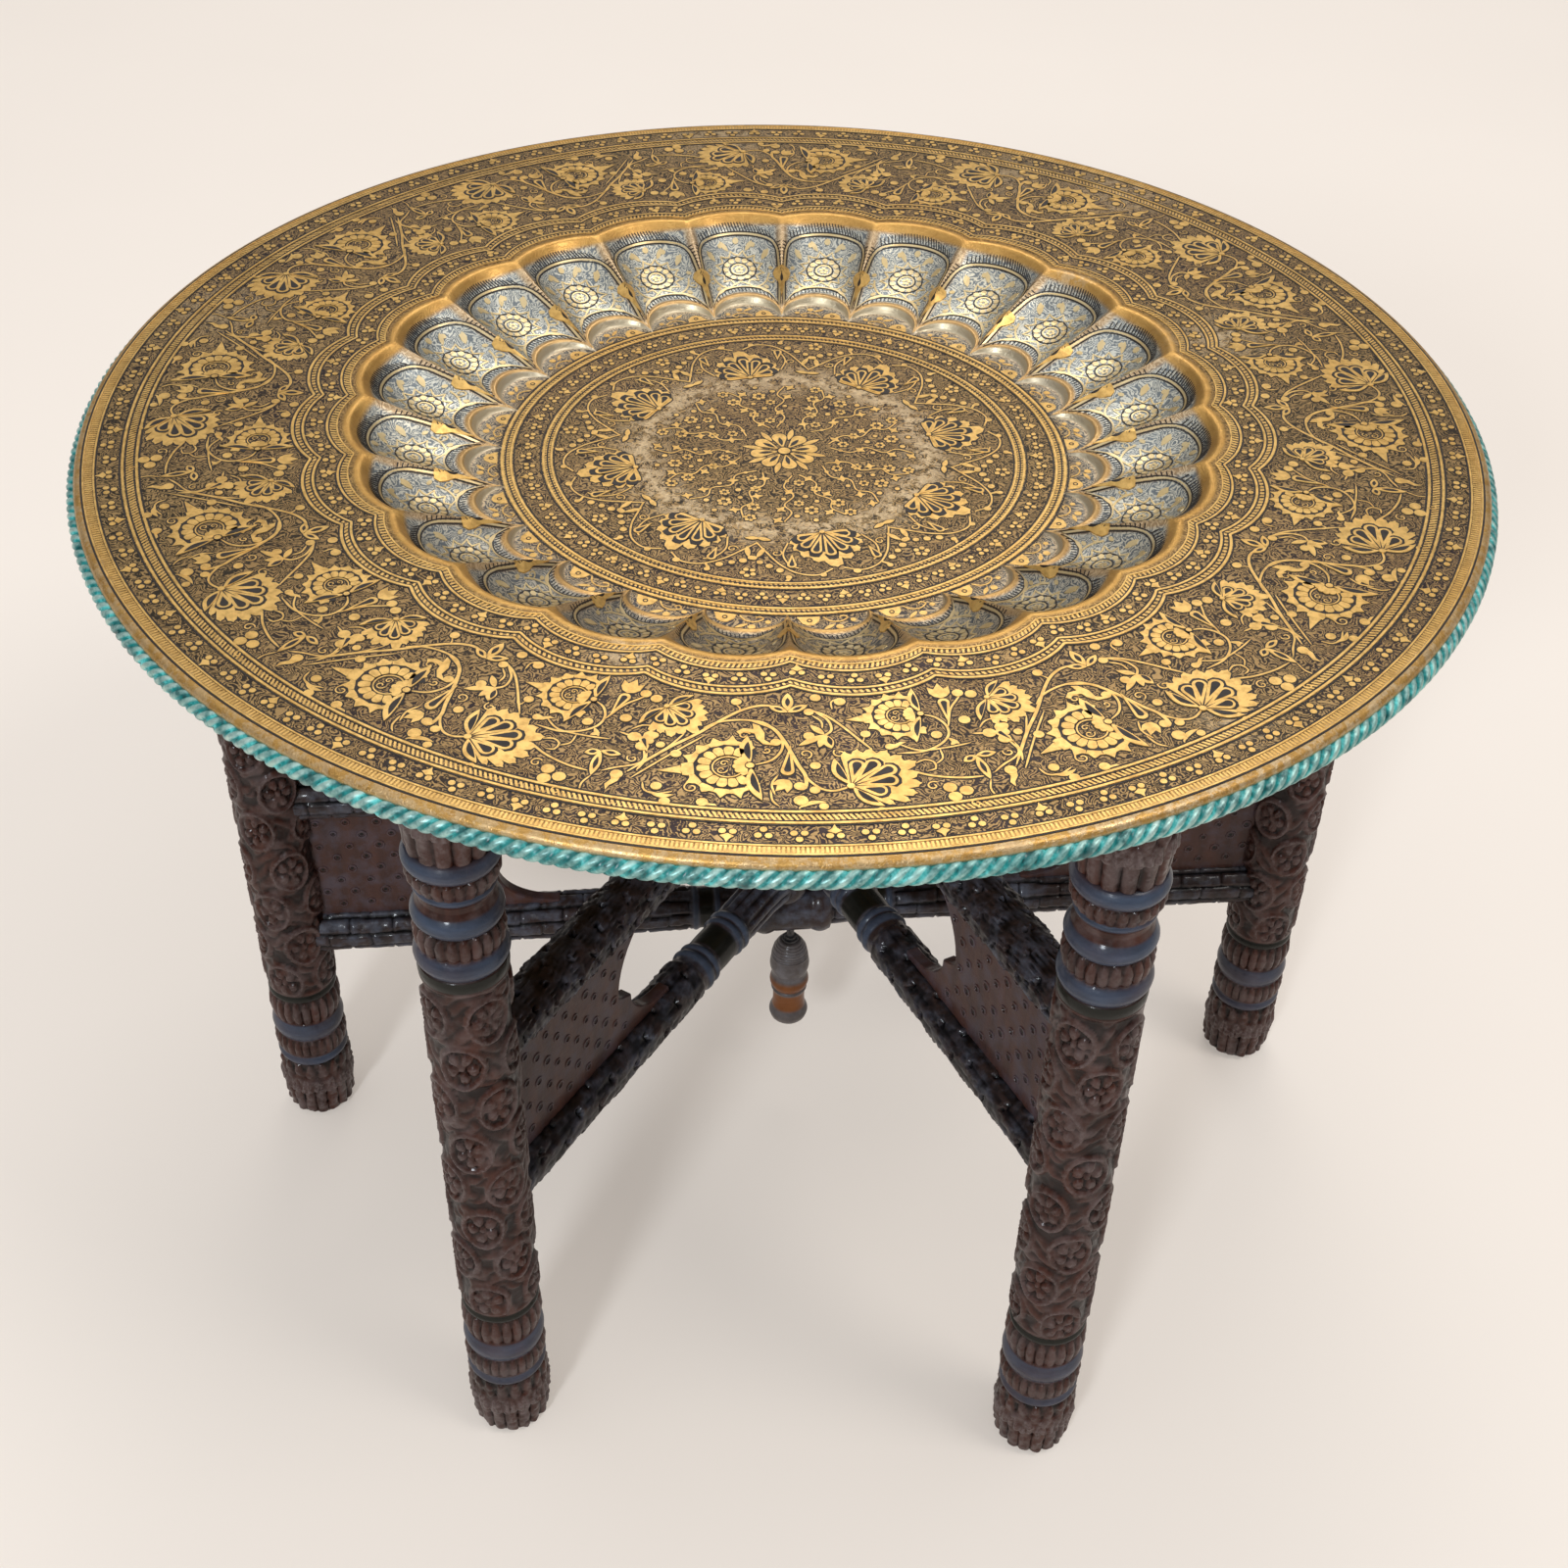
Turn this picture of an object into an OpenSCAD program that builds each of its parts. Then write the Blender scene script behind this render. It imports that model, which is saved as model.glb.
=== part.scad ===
// Brass tray table: a removable engraved tray with a fluted bowl and a rope edge,
// resting on a folding stand of three carved wooden cross frames that turn on one
// upright rod. Millimetres, +Z up. The origin is on the floor, under the middle of the tray.

/* [Tray] */
// Radius of the tray sheet where it turns down at the edge
tray_r = 377; // [370:1:384]
// Height of the tray's flat border above the floor
tray_h = 520; // [515:1:530]
// Thickness of the beaten brass sheet
sheet_t = 1.2; // [1:0.1:1.6]
// Depth of the bowl below the border
bowl_depth = 31; // [24:1:34]
// Radius of the flat floor of the bowl
floor_r = 158; // [150:1:162]
// Radius of the bowl's mouth
mouth_r = 241; // [236:1:250]
// Thickness of the twisted rope edge
rope_d = 9.4; // [8:0.2:10]

/* [Stand] */
// Distance from the pivot rod to each leg's axis
leg_circle = 321; // [312:1:322]
// Sideways place of the pivot rod under the tray
pivot_x = 11; // [0:1:12]
// Front to back place of the pivot rod under the tray
pivot_y = -13; // [-14:1:0]
// Direction of the side-to-side frame, in degrees
cross_angle = 5.8; // [4:0.2:8]
// Direction of the frame that ends in the front left leg, in degrees
left_diagonal_angle = 59.4; // [57:0.2:62]
// Direction of the frame that ends in the front right leg, in degrees
right_diagonal_angle = 117.2; // [115:0.2:120]

/* [Legs] */
// Radius of a leg along its carved shaft
leg_r = 23.5; // [22:0.5:24]

/* [Rails] */
// Height of the lowest rail's middle
first_rail_z = 156; // [152:1:158]
// Step in height from one rail to the next where they cross at the rod
rail_pitch = 37; // [36:0.5:37]
// Radius of a rail along its carved part
rail_r = 15; // [13:0.5:15]
// Height of the flat-faced knuckle in the middle of a rail
knuckle_h = 34.4; // [30:0.2:34.4]

/* [Panels] */
// Thickness of the carved boards between the rails
panel_t = 8; // [6:0.5:10]
// Radius where the lower tip of a board ends
panel_tip_r = 150; // [146:1:160]
// Radius of the deepest part of the scooped end
panel_scoop_r = 200; // [190:1:206]

/* [Pivot] */
// Diameter of the pivot rod
rod_d = 5; // [4:0.5:6]
// Height of the lowest point of the hanging finial
finial_z = 47; // [44:1:50]

/* [Hidden] */
$fn = 64;
fit = 0.05;              // play of a pin or tongue in its hole
lift = 0.3;              // gap over the legs that turn under the tray
tenon_r = 8;             // round tenon on a rail's end
tenon_end = leg_circle + 13;
groove = 5;              // depth of the board's tongue in a rail or leg
in_frame = 3 * rail_pitch;   // lower to upper rail of one frame
rest_z = tray_h - sheet_t;   // underside of the tray's border
a_low = first_rail_z;
b_low = first_rail_z + rail_pitch;
c_low = first_rail_z + 2 * rail_pitch;
half_knuckle = knuckle_h / 2;
stack_top = c_low + in_frame + half_knuckle;
dark = [0.16, 0.11, 0.09];
reddish = [0.33, 0.17, 0.11];
old_brass = [0.62, 0.47, 0.22];
verdigris = [0.28, 0.60, 0.56];
iron = [0.25, 0.25, 0.26];

// Points of a half-round bead on a turned profile: radius r, swelling by b, from z0 to z1
function bead(z0, z1, r, b) = [for (i = [0:6]) [r + b * sin(180 * i / 6), z0 + (z1 - z0) * i / 6]];

// Turned outline of a leg, foot to top, as [radius, height]
function leg_outline(top) = concat(
    [[0, 0], [18, 0], [20.5, 3], [22, 14], [22.8, 40], [22.8, 53]],
    bead(53, 69, 22.6, 1.2),                 // skirt of petals over the foot
    bead(71, 86, 22.4, 1.5),                 // bead row
    [[22.8, 87], [23.2, 95], [22, 102], [20.6, 104], [20.6, 107]],
    bead(108, 123, 21.6, 1.8),               // petal ring
    [[22.2, 124], [22.2, 127], [leg_r, 129], [leg_r, 376]],
    bead(376, 387, 23.2, 1),                 // smooth ring
    [[21.4, 388.5], [21.4, 391]],
    bead(391, 403, 21.8, 1.5),               // bead row
    [[23.2, 404], [23.2, 408], [21.6, 411], [19.6, 418], [17.2, 421], [17.2, 428]],
    [[18.4, 429], [21.4, 437]],
    bead(438, 448, 21.6, 1.8),               // upper ring
    [[19.4, 449], [20.2, 456], [22.2, 480], [22.6, 500], [21.2, top - 6], [19, top - 1.5], [17, top], [0, top]]);

module leg(low, top) {
    difference() {
        rotate_extrude() polygon(leg_outline(top));
        for (z = [low, low + in_frame])
            translate([-leg_circle / 10, 0, z]) rotate([0, 90, 0]) cylinder(r = tenon_r + fit, h = leg_circle / 10 + 13 + fit);
        translate([-40, -panel_t / 2 - fit, low + 6]) cube([40 - (leg_r - groove), panel_t + 2 * fit, in_frame - 12]);
    }
}

// Turned outline of half a rail, from the rod out to the leg, as [radius, distance]
function rail_half() = concat(
    [[18.4, 0], [18.4, 11]],
    bead(12, 24, 18.2, 2),                   // collar beside the knuckle
    [[15.2, 25], [13.8, 34], [12.8, 44], [12.8, 73]],
    bead(74, 80, 13, 1.4), bead(81, 86, 13, 1.2),
    [[13, 87], [13, 107]],
    bead(108, 113, 13.2, 1.3), bead(114, 121, 13.2, 1.6),
    [[13.4, 122], [13.4, 125], [rail_r, 127], [rail_r, leg_circle - 6]]);

function flip(p) = [for (i = [len(p) - 1:-1:0]) [p[i][0], -p[i][1]]];

module rail(z) {
    h = rail_half();
    difference() {
        union() {
            intersection() {
                difference() {
                    rotate([0, 90, 0]) rotate_extrude() polygon(concat([[0, -(leg_circle - 6)]], flip(h), h, [[0, leg_circle - 6]]));
                    for (s = [-1, 1]) translate([s * leg_circle, 0, -40]) cylinder(r = leg_r + fit, h = 80);
                }
                translate([-400, -40, -half_knuckle]) cube([800, 80, knuckle_h]);
            }
            rotate([0, 90, 0]) translate([0, 0, -tenon_end]) cylinder(r = tenon_r, h = 2 * tenon_end);
        }
        translate([0, 0, -40]) cylinder(r = rod_d / 2 + fit, h = 80);
        // groove that takes the boards' edges, above or below the rail's middle
        for (s = [-1, 1])
            translate([s > 0 ? panel_tip_r - 6 : -(leg_circle - 6), -panel_t / 2 - fit, z > 0 ? rail_r - groove - fit : -rail_r - 10])
                cube([leg_circle - panel_tip_r, panel_t + 2 * fit, groove + 10 + fit]);
    }
}

// Outline of a board as [distance from the rod, height above the lower rail's middle];
// its inner end is scooped like a bracket, with one small step
function board_outline() =
    let (lo = rail_r - groove, hi = in_frame - rail_r + groove, mid = 50, out = leg_circle - leg_r + groove - 0.2,
         d = panel_scoop_r - panel_tip_r)
    concat([[out, lo], [out, hi], [panel_tip_r, hi]],
           [for (i = [0:12]) [panel_tip_r + d * sin(90 * i / 12), mid + (hi - mid - 2) * cos(90 * i / 12)]],
           [[panel_tip_r + d - 6, mid - 4]],
           [for (i = [0:8]) [panel_tip_r + (d - 12) * cos(90 * i / 8), mid - 7 - (mid - 7 - lo - 6) * sin(90 * i / 8)]],
           [[panel_tip_r, lo]]);

module board(low) {
    translate([0, 0, low]) rotate([90, 0, 0]) translate([0, 0, -panel_t / 2]) linear_extrude(panel_t) polygon(board_outline());
}

// Puts a piece on the stand: its frame's direction, about the pivot rod
module on_stand(a) { translate([pivot_x, pivot_y, 0]) rotate([0, 0, a]) children(); }
module on_leg(a) { on_stand(a) translate([leg_circle, 0, 0]) children(); }

module leg_left() { color(dark) on_leg(cross_angle + 180) leg(a_low, rest_z - fit); }
module leg_right() { color(dark) on_leg(cross_angle) leg(a_low, rest_z - fit); }
module cross_lower_rail() { color(dark) on_stand(cross_angle) translate([0, 0, a_low]) rail(1); }
module cross_upper_rail() { color(dark) on_stand(cross_angle) translate([0, 0, a_low + in_frame]) rail(-1); }
module cross_left_panel() { color(reddish) on_stand(cross_angle + 180) board(a_low); }
module cross_right_panel() { color(reddish) on_stand(cross_angle) board(a_low); }

module leg_front_left() { color(dark) on_leg(left_diagonal_angle + 180) leg(b_low, rest_z - lift); }
module leg_back_right() { color(dark) on_leg(left_diagonal_angle) leg(b_low, rest_z - lift); }
module left_diagonal_lower_rail() { color(dark) on_stand(left_diagonal_angle) translate([0, 0, b_low]) rail(1); }
module left_diagonal_upper_rail() { color(dark) on_stand(left_diagonal_angle) translate([0, 0, b_low + in_frame]) rail(-1); }
module left_diagonal_front_panel() { color(reddish) on_stand(left_diagonal_angle + 180) board(b_low); }
module left_diagonal_back_panel() { color(reddish) on_stand(left_diagonal_angle) board(b_low); }

module leg_front_right() { color(dark) on_leg(right_diagonal_angle + 180) leg(c_low, rest_z - lift); }
module leg_back_left() { color(dark) on_leg(right_diagonal_angle) leg(c_low, rest_z - lift); }
module right_diagonal_lower_rail() { color(dark) on_stand(right_diagonal_angle) translate([0, 0, c_low]) rail(1); }
module right_diagonal_upper_rail() { color(dark) on_stand(right_diagonal_angle) translate([0, 0, c_low + in_frame]) rail(-1); }
module right_diagonal_front_panel() { color(reddish) on_stand(right_diagonal_angle + 180) board(c_low); }
module right_diagonal_back_panel() { color(reddish) on_stand(right_diagonal_angle) board(c_low); }

// Upright rod through all six knuckles, down into the finial
module pivot_rod() {
    color(iron) on_stand(0) translate([0, 0, finial_z + 20]) cylinder(r = rod_d / 2, h = stack_top + 12 - finial_z - 20);
}

// Hexagon nut and its washer on the rod's upper end
module rod_nut() {
    color(iron) on_stand(0) translate([0, 0, stack_top + 0.3]) difference() {
        union() {
            cylinder(r = 9, h = 1.6);
            translate([0, 0, 1.6]) cylinder(r = rod_d * 0.92, h = 4.4, $fn = 6);
        }
        translate([0, 0, -1]) cylinder(r = rod_d / 2 + fit, h = 10);
    }
}

// Flat washers that keep the knuckles apart
module spacer_washers() {
    t = rail_pitch - knuckle_h - 0.6;
    color(iron) on_stand(0) for (i = [0:4])
        translate([0, 0, a_low + i * rail_pitch + half_knuckle + 0.3]) difference() {
            cylinder(r = 10, h = t);
            translate([0, 0, -1]) cylinder(r = rod_d / 2 + fit, h = t + 2);
        }
}

// Turned wooden knob that hangs on the rod's lower end
module finial() {
    p = concat([[0, 0], [3, 0.6], [9, 3], [12.4, 7]],
               bead(8, 14, 12.2, 0.8),
               [[11.2, 16], [10.6, 24], [10.9, 30], [11.6, 33]],
               bead(34, 43, 12.2, 0.9),
               [[11.5, 44.5], [11.5, 48], [12.4, 49.5]],
               bead(50, 60, 12.6, 0.6),
               [[12.4, 62], [11, 68], [8.4, 73], [5.6, 76], [0, 76]]);
    color(dark) on_stand(0) translate([0, 0, finial_z]) difference() {
        rotate_extrude() polygon(p);
        translate([0, 0, 20 - fit]) cylinder(r = rod_d / 2 + fit, h = 60);
    }
}

// Small stepped metal cap over the top of the finial
module finial_washer() {
    color(iron) on_stand(0) translate([0, 0, finial_z + 76]) difference() {
        union() { cylinder(r = 5.4, h = 1.2); cylinder(r = 3.9, h = 3.2); }
        translate([0, 0, -1]) cylinder(r = rod_d / 2 + fit, h = 6);
    }
}

// Upper face of the tray, from the middle of the bowl to the edge, as [radius, height]
function tray_face() =
    let (f = tray_h - bowl_depth, w = mouth_r - floor_r)
    concat([[0, f], [floor_r - 3, f]],
           [[floor_r, f + 1.2], [floor_r + 8, f + 2.4], [floor_r + 20, f + 4]],
           [for (i = [1:8]) [floor_r + 20 + (w - 23) * i / 8, f + 4 + (bowl_depth - 5.5) * pow(i / 8, 1.5)]],
           [[mouth_r, tray_h], [tray_r - 5, tray_h], [tray_r - 2, tray_h - 0.6], [tray_r - 0.6, tray_h - 1.8], [tray_r, tray_h - 3.4]]);

// One beaten sheet: bowl, flat border and turned-down edge
module tray_sheet() {
    f = tray_face();
    n = len(f);
    edge = tray_h - 11;
    under = [for (i = [n - 4:-1:0]) [f[i][0], f[i][1] - sheet_t]];
    color(old_brass) rotate_extrude($fn = 120) polygon(concat(
        f, [[tray_r, edge], [tray_r - sheet_t, edge], [tray_r - sheet_t, tray_h - 4]],
        [[tray_r - 2.4, tray_h - 2.4]], under));
}

// Twisted wire rope soldered round the turned-down edge
module rope_edge() {
    color(verdigris) rotate_extrude($fn = 120) difference() {
        translate([tray_r - sheet_t / 2, tray_h - 10]) circle(d = rope_d, $fn = 32);
        translate([tray_r - sheet_t, tray_h - 11]) square([sheet_t, 20]);
    }
}

leg_left();
leg_right();
cross_lower_rail();
cross_upper_rail();
cross_left_panel();
cross_right_panel();
leg_front_left();
leg_back_right();
left_diagonal_lower_rail();
left_diagonal_upper_rail();
left_diagonal_front_panel();
left_diagonal_back_panel();
leg_front_right();
leg_back_left();
right_diagonal_lower_rail();
right_diagonal_upper_rail();
right_diagonal_front_panel();
right_diagonal_back_panel();
pivot_rod();
rod_nut();
spacer_washers();
finial();
finial_washer();
tray_sheet();
rope_edge();
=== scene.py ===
"""Looks of a folding tray table: an engraved, fluted brass tray with a rope edge on a carved, turned wooden stand."""

import math

import bpy
import numpy as np
from mathutils import Matrix, Vector
from mathutils.geometry import tessellate_polygon


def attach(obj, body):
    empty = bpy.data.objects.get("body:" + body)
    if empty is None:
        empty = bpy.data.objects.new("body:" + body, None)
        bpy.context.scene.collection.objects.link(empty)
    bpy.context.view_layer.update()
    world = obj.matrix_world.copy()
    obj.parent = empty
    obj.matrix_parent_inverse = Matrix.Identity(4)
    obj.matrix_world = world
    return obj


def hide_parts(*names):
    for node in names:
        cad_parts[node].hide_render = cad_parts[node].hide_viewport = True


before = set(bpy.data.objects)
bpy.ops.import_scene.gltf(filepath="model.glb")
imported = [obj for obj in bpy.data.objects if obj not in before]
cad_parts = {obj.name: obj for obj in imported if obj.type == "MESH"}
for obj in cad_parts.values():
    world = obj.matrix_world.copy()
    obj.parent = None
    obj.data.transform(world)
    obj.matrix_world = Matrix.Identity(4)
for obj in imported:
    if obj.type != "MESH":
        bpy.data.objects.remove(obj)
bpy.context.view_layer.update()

MM = 0.001
TAU = 2 * math.pi
PIVOT = (11.0, -13.0)
LEG_CIRCLE = 321.0
TOP = 520.0
FLOOR = 488.0
RNG = np.random.default_rng(7)

# ---------------------------------------------------------------- meshes


def make(name, verts, faces, material, body, replaces=(), attrs=None, smooth=True, sharp=None):
    """A mesh piece in millimetres. faces is a list of index arrays, each with 3 or 4 columns."""
    verts = np.asarray(verts, float)
    me = bpy.data.meshes.new(name)
    me.vertices.add(len(verts))
    me.vertices.foreach_set("co", (verts * MM).astype(np.float32).ravel())
    faces = [np.asarray(f, np.int32) for f in faces if len(f)]
    total = np.concatenate([np.full(len(f), f.shape[1], np.int32) for f in faces])
    loops = np.concatenate([f.ravel() for f in faces])
    me.loops.add(len(loops))
    me.loops.foreach_set("vertex_index", loops)
    me.polygons.add(len(total))
    start = np.concatenate([[0], np.cumsum(total)[:-1]]).astype(np.int32)
    me.polygons.foreach_set("loop_start", start)
    me.polygons.foreach_set("loop_total", total)
    me.update(calc_edges=True)
    me.validate()
    for key, value in (attrs or {}).items():
        a = me.attributes.new(key, "FLOAT", "POINT")
        a.data.foreach_set("value", np.asarray(value, np.float32).ravel())
    me.polygons.foreach_set("use_smooth", np.full(len(me.polygons), smooth))
    if sharp is not None:
        me.set_sharp_from_angle(angle=math.radians(sharp))
    me.materials.append(material)
    ob = bpy.data.objects.new(name, me)
    bpy.context.scene.collection.objects.link(ob)
    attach(ob, body)
    if replaces:
        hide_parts(*replaces)
    return ob


def grid(rows, cols, wrap=True, flip=False, base=0):
    """Quads of a rows x cols grid whose columns close on themselves when wrap is set."""
    i = np.arange(rows - 1)[:, None]
    j = np.arange(cols if wrap else cols - 1)[None, :]
    k = (j + 1) % cols
    a, b, c, d = i * cols + j, i * cols + k, (i + 1) * cols + k, (i + 1) * cols + j
    q = np.stack([a, b, c, d] if not flip else [d, c, b, a], -1).reshape(-1, 4)
    return q + base


def cap(start, cols, centre, flip=False):
    j = np.arange(cols)
    k = (j + 1) % cols
    t = np.stack([start + j, start + k, np.full(cols, centre)], -1)
    return t[:, ::-1] if flip else t


def smoothstep(a, b, x):
    t = np.clip((x - a) / (b - a), 0, 1)
    return t * t * (3 - 2 * t)


def ridge(d, w):
    """A rounded ridge of half width w at distance d from its line, 1 on the line."""
    return np.clip(1 - (d / w) ** 2, 0, 1) ** 0.75


class Noise:
    """Smooth value noise on a plane, seeded, with an optional period in the first direction."""

    def __init__(self, seed):
        self.g = np.random.default_rng(seed).random((256, 256))

    def __call__(self, x, y, period=256):
        x0, y0 = np.floor(x).astype(int), np.floor(y).astype(int)
        fx, fy = x - x0, y - y0
        fx, fy = fx * fx * (3 - 2 * fx), fy * fy * (3 - 2 * fy)
        p = int(period)
        a, b = x0 % p % 256, (x0 + 1) % p % 256
        c, d = y0 % 256, (y0 + 1) % 256
        g = self.g
        return (g[a, c] * (1 - fx) + g[b, c] * fx) * (1 - fy) + (g[a, d] * (1 - fx) + g[b, d] * fx) * fy


N1, N2, N3 = Noise(1), Noise(2), Noise(3)

# ---------------------------------------------------------------- materials


class Mat:
    def __init__(self, name):
        self.m = bpy.data.materials.new(name)
        self.m.use_nodes = True
        self.t = self.m.node_tree
        self.b = self.t.nodes["Principled BSDF"]
        self.co = self.t.nodes.new("ShaderNodeTexCoord").outputs["Object"]

    def node(self, kind, **kw):
        n = self.t.nodes.new(kind)
        for k, v in kw.items():
            setattr(n, k, v)
        return n

    def link(self, value, socket):
        if isinstance(value, bpy.types.NodeSocket):
            self.t.links.new(value, socket)
        else:
            socket.default_value = value

    def scaled(self, sx, sy, sz, rot=(0, 0, 0)):
        n = self.node("ShaderNodeMapping")
        self.link(self.co, n.inputs["Vector"])
        n.inputs["Scale"].default_value = (sx, sy, sz)
        n.inputs["Rotation"].default_value = rot
        return n.outputs[0]

    def noise(self, scale, detail=3, rough=0.5, vec=None, distortion=0.0):
        n = self.node("ShaderNodeTexNoise")
        self.link(vec or self.co, n.inputs["Vector"])
        n.inputs["Scale"].default_value = scale
        n.inputs["Detail"].default_value = detail
        n.inputs["Roughness"].default_value = rough
        n.inputs["Distortion"].default_value = distortion
        return n.outputs[0]

    def voronoi(self, scale, feature="F1", vec=None, rand=1.0):
        n = self.node("ShaderNodeTexVoronoi", feature=feature)
        self.link(vec or self.co, n.inputs["Vector"])
        n.inputs["Scale"].default_value = scale
        n.inputs["Randomness"].default_value = rand
        return n.outputs["Distance"]

    def ramp(self, fac, stops, mode="LINEAR"):
        n = self.node("ShaderNodeValToRGB")
        n.color_ramp.interpolation = mode
        e = n.color_ramp.elements
        while len(e) < len(stops):
            e.new(0.5)
        for el, (p, c) in zip(e, stops):
            el.position = p
            el.color = (*c, 1) if hasattr(c, "__len__") else (c, c, c, 1)
        self.link(fac, n.inputs[0])
        return n.outputs[0]

    def mix(self, fac, a, b, mode="MIX"):
        n = self.node("ShaderNodeMix", data_type="RGBA", blend_type=mode)
        self.link(fac, n.inputs[0])
        for v, s in ((a, n.inputs[6]), (b, n.inputs[7])):
            self.link((*v, 1) if isinstance(v, tuple) and len(v) == 3 else v, s)
        return n.outputs[2]

    def math(self, op, a, b=0.0, c=0.0, clamp=False):
        n = self.node("ShaderNodeMath", operation=op, use_clamp=clamp)
        for i, v in enumerate((a, b, c)):
            self.link(v, n.inputs[i])
        return n.outputs[0]

    def attr(self, name):
        n = self.node("ShaderNodeAttribute", attribute_name=name)
        return n.outputs["Fac"]

    def bump(self, height, strength, distance):
        n = self.node("ShaderNodeBump")
        n.inputs["Strength"].default_value = strength
        n.inputs["Distance"].default_value = distance
        self.link(height, n.inputs["Height"])
        self.link(n.outputs[0], self.b.inputs["Normal"])

    def set(self, **kw):
        names = {"color": "Base Color", "rough": "Roughness", "metal": "Metallic", "coat": "Coat Weight",
                 "coat_rough": "Coat Roughness", "spec": "Specular IOR Level", "ior": "IOR", "aniso": "Anisotropic"}
        for k, v in kw.items():
            self.link((*v, 1) if isinstance(v, tuple) and len(v) == 3 else v, self.b.inputs[names[k]])
        return self


def srgb(r, g, b):
    """A colour given as it looks on a screen, 0 to 255, as linear values."""
    return tuple(((c / 255 + 0.055) / 1.055) ** 2.4 if c / 255 > 0.04045 else c / 255 / 12.92 for c in (r, g, b))


def tray_ground():
    """Engraved ground: nested curling brass strokes over dark lacquer, silvery in the flutes (partly silvering, partly
    painted reflection of cool light), with a painted highlight in the coves at the foot, plain along lips and rims.
    """
    m = Mat("engraved_brass")
    field = m.noise(120, 1.5, 0.45, distortion=0.6)
    swirl = m.math("SINE", m.math("MULTIPLY", field, 80.0))
    breaks = m.noise(820, 2, 0.6)
    mixed = m.math("ADD", m.math("MULTIPLY", swirl, 0.26), m.math("MULTIPLY", breaks, 1.15))
    strokes = m.ramp(mixed, [(0.52, 0.0), (0.70, 1.0)])
    cells = m.voronoi(560, "F1")
    specks = m.ramp(cells, [(0.16, 1.0), (0.30, 0.0)])
    pattern = m.math("MAXIMUM", m.math("MULTIPLY", strokes, 0.78), m.math("MULTIPLY", specks, 0.5))
    cloud = m.noise(9, 4, 0.6)
    fine = m.noise(60, 3, 0.6)
    olive = m.ramp(m.noise(5, 3, 0.6), [(0.38, 0.0), (0.60, 1.0)])
    dark = m.mix(olive, m.mix(fine, srgb(32, 23, 24), srgb(58, 44, 44)), m.mix(fine, srgb(34, 27, 18), srgb(60, 50, 34)))
    stroke = m.mix(cloud, srgb(156, 122, 76), srgb(198, 164, 108))
    warm = m.mix(pattern, dark, stroke)
    # the cool silvery colours in the flutes are partly silvering and partly painted reflection of cool light
    silver_dark = m.mix(fine, srgb(92, 96, 98), srgb(136, 144, 148))
    silver_light = m.mix(cloud, srgb(196, 202, 200), srgb(240, 226, 192))
    cool = m.mix(pattern, silver_dark, silver_light)
    # painted highlight: the coves at the foot of the flutes get a pale plain colour
    cove = m.attr("cove")
    body = m.mix(m.attr("silver_and_reflection"), warm, m.mix(cove, cool, m.mix(cloud, srgb(162, 172, 172), srgb(236, 224, 188))))
    gold = m.mix(m.noise(120, 3, 0.6), srgb(176, 126, 58), srgb(222, 176, 98))
    colour = m.mix(m.attr("plain"), body, gold)
    worn = m.mix(m.noise(420, 3, 0.7), srgb(158, 124, 82), srgb(246, 224, 184))
    spots = m.math("MULTIPLY", m.attr("wear"), m.ramp(m.noise(150, 5, 0.8), [(0.45, 0.0), (0.54, 1.0)]))
    colour = m.mix(spots, colour, worn)
    verd = m.mix(m.noise(90, 3, 0.6), srgb(16, 86, 86), srgb(70, 160, 154))
    colour = m.mix(m.attr("verdigris"), colour, verd)
    m.set(color=colour, metal=0.72)
    m.set(rough=m.ramp(m.noise(70, 4, 0.6), [(0.3, 0.32), (0.75, 0.50)]))
    m.bump(pattern, 0.35, 0.0003)
    return m.m


def raised_brass():
    """Polished brass left standing between the engraving."""
    m = Mat("raised_brass")
    cloud = m.noise(14, 4, 0.6)
    fine = m.noise(260, 3, 0.65)
    colour = m.mix(cloud, srgb(212, 164, 84), srgb(242, 202, 126))
    colour = m.mix(m.ramp(fine, [(0.35, 0.45), (0.58, 0.0)]), colour, srgb(150, 106, 48))
    m.set(color=colour, metal=0.7)
    m.set(rough=m.ramp(m.noise(80, 3, 0.6), [(0.3, 0.30), (0.75, 0.46)]))
    m.bump(fine, 0.25, 0.0002)
    return m.m


def flute_metal():
    """Figures in the flutes: brass rubbed down to a silvery yellow."""
    m = Mat("rubbed_brass")
    colour = m.mix(m.noise(40, 4, 0.6), srgb(196, 160, 92), srgb(232, 216, 176))
    m.set(color=colour, metal=0.75, rough=m.ramp(m.noise(80, 3, 0.6), [(0.3, 0.30), (0.75, 0.46)]))
    return m.m


def dark_inlay():
    m = Mat("blackened_cuts")
    m.set(color=m.mix(m.noise(400, 3, 0.6), srgb(22, 16, 13), srgb(44, 34, 27)), metal=0.2, rough=m.ramp(m.noise(150, 2, 0.5), [(0.3, 0.42), (0.7, 0.6)]))
    return m.m


def tray_back():
    """Plain underside: dull beaten brass with brown tarnish."""
    m = Mat("tarnished_brass")
    a = m.noise(16, 5, 0.62)
    b = m.noise(120, 3, 0.6)
    colour = m.ramp(a, [(0.3, srgb(96, 76, 46)), (0.5, srgb(142, 112, 64)), (0.7, srgb(112, 84, 52))])
    colour = m.mix(m.ramp(b, [(0.5, 0.0), (0.72, 0.5)]), colour, srgb(70, 60, 48))
    m.set(color=colour, metal=0.7, rough=m.ramp(b, [(0.3, 0.42), (0.7, 0.6)]))
    m.bump(m.voronoi(55, "SMOOTH_F1"), 0.2, 0.0006)
    return m.m


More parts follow.
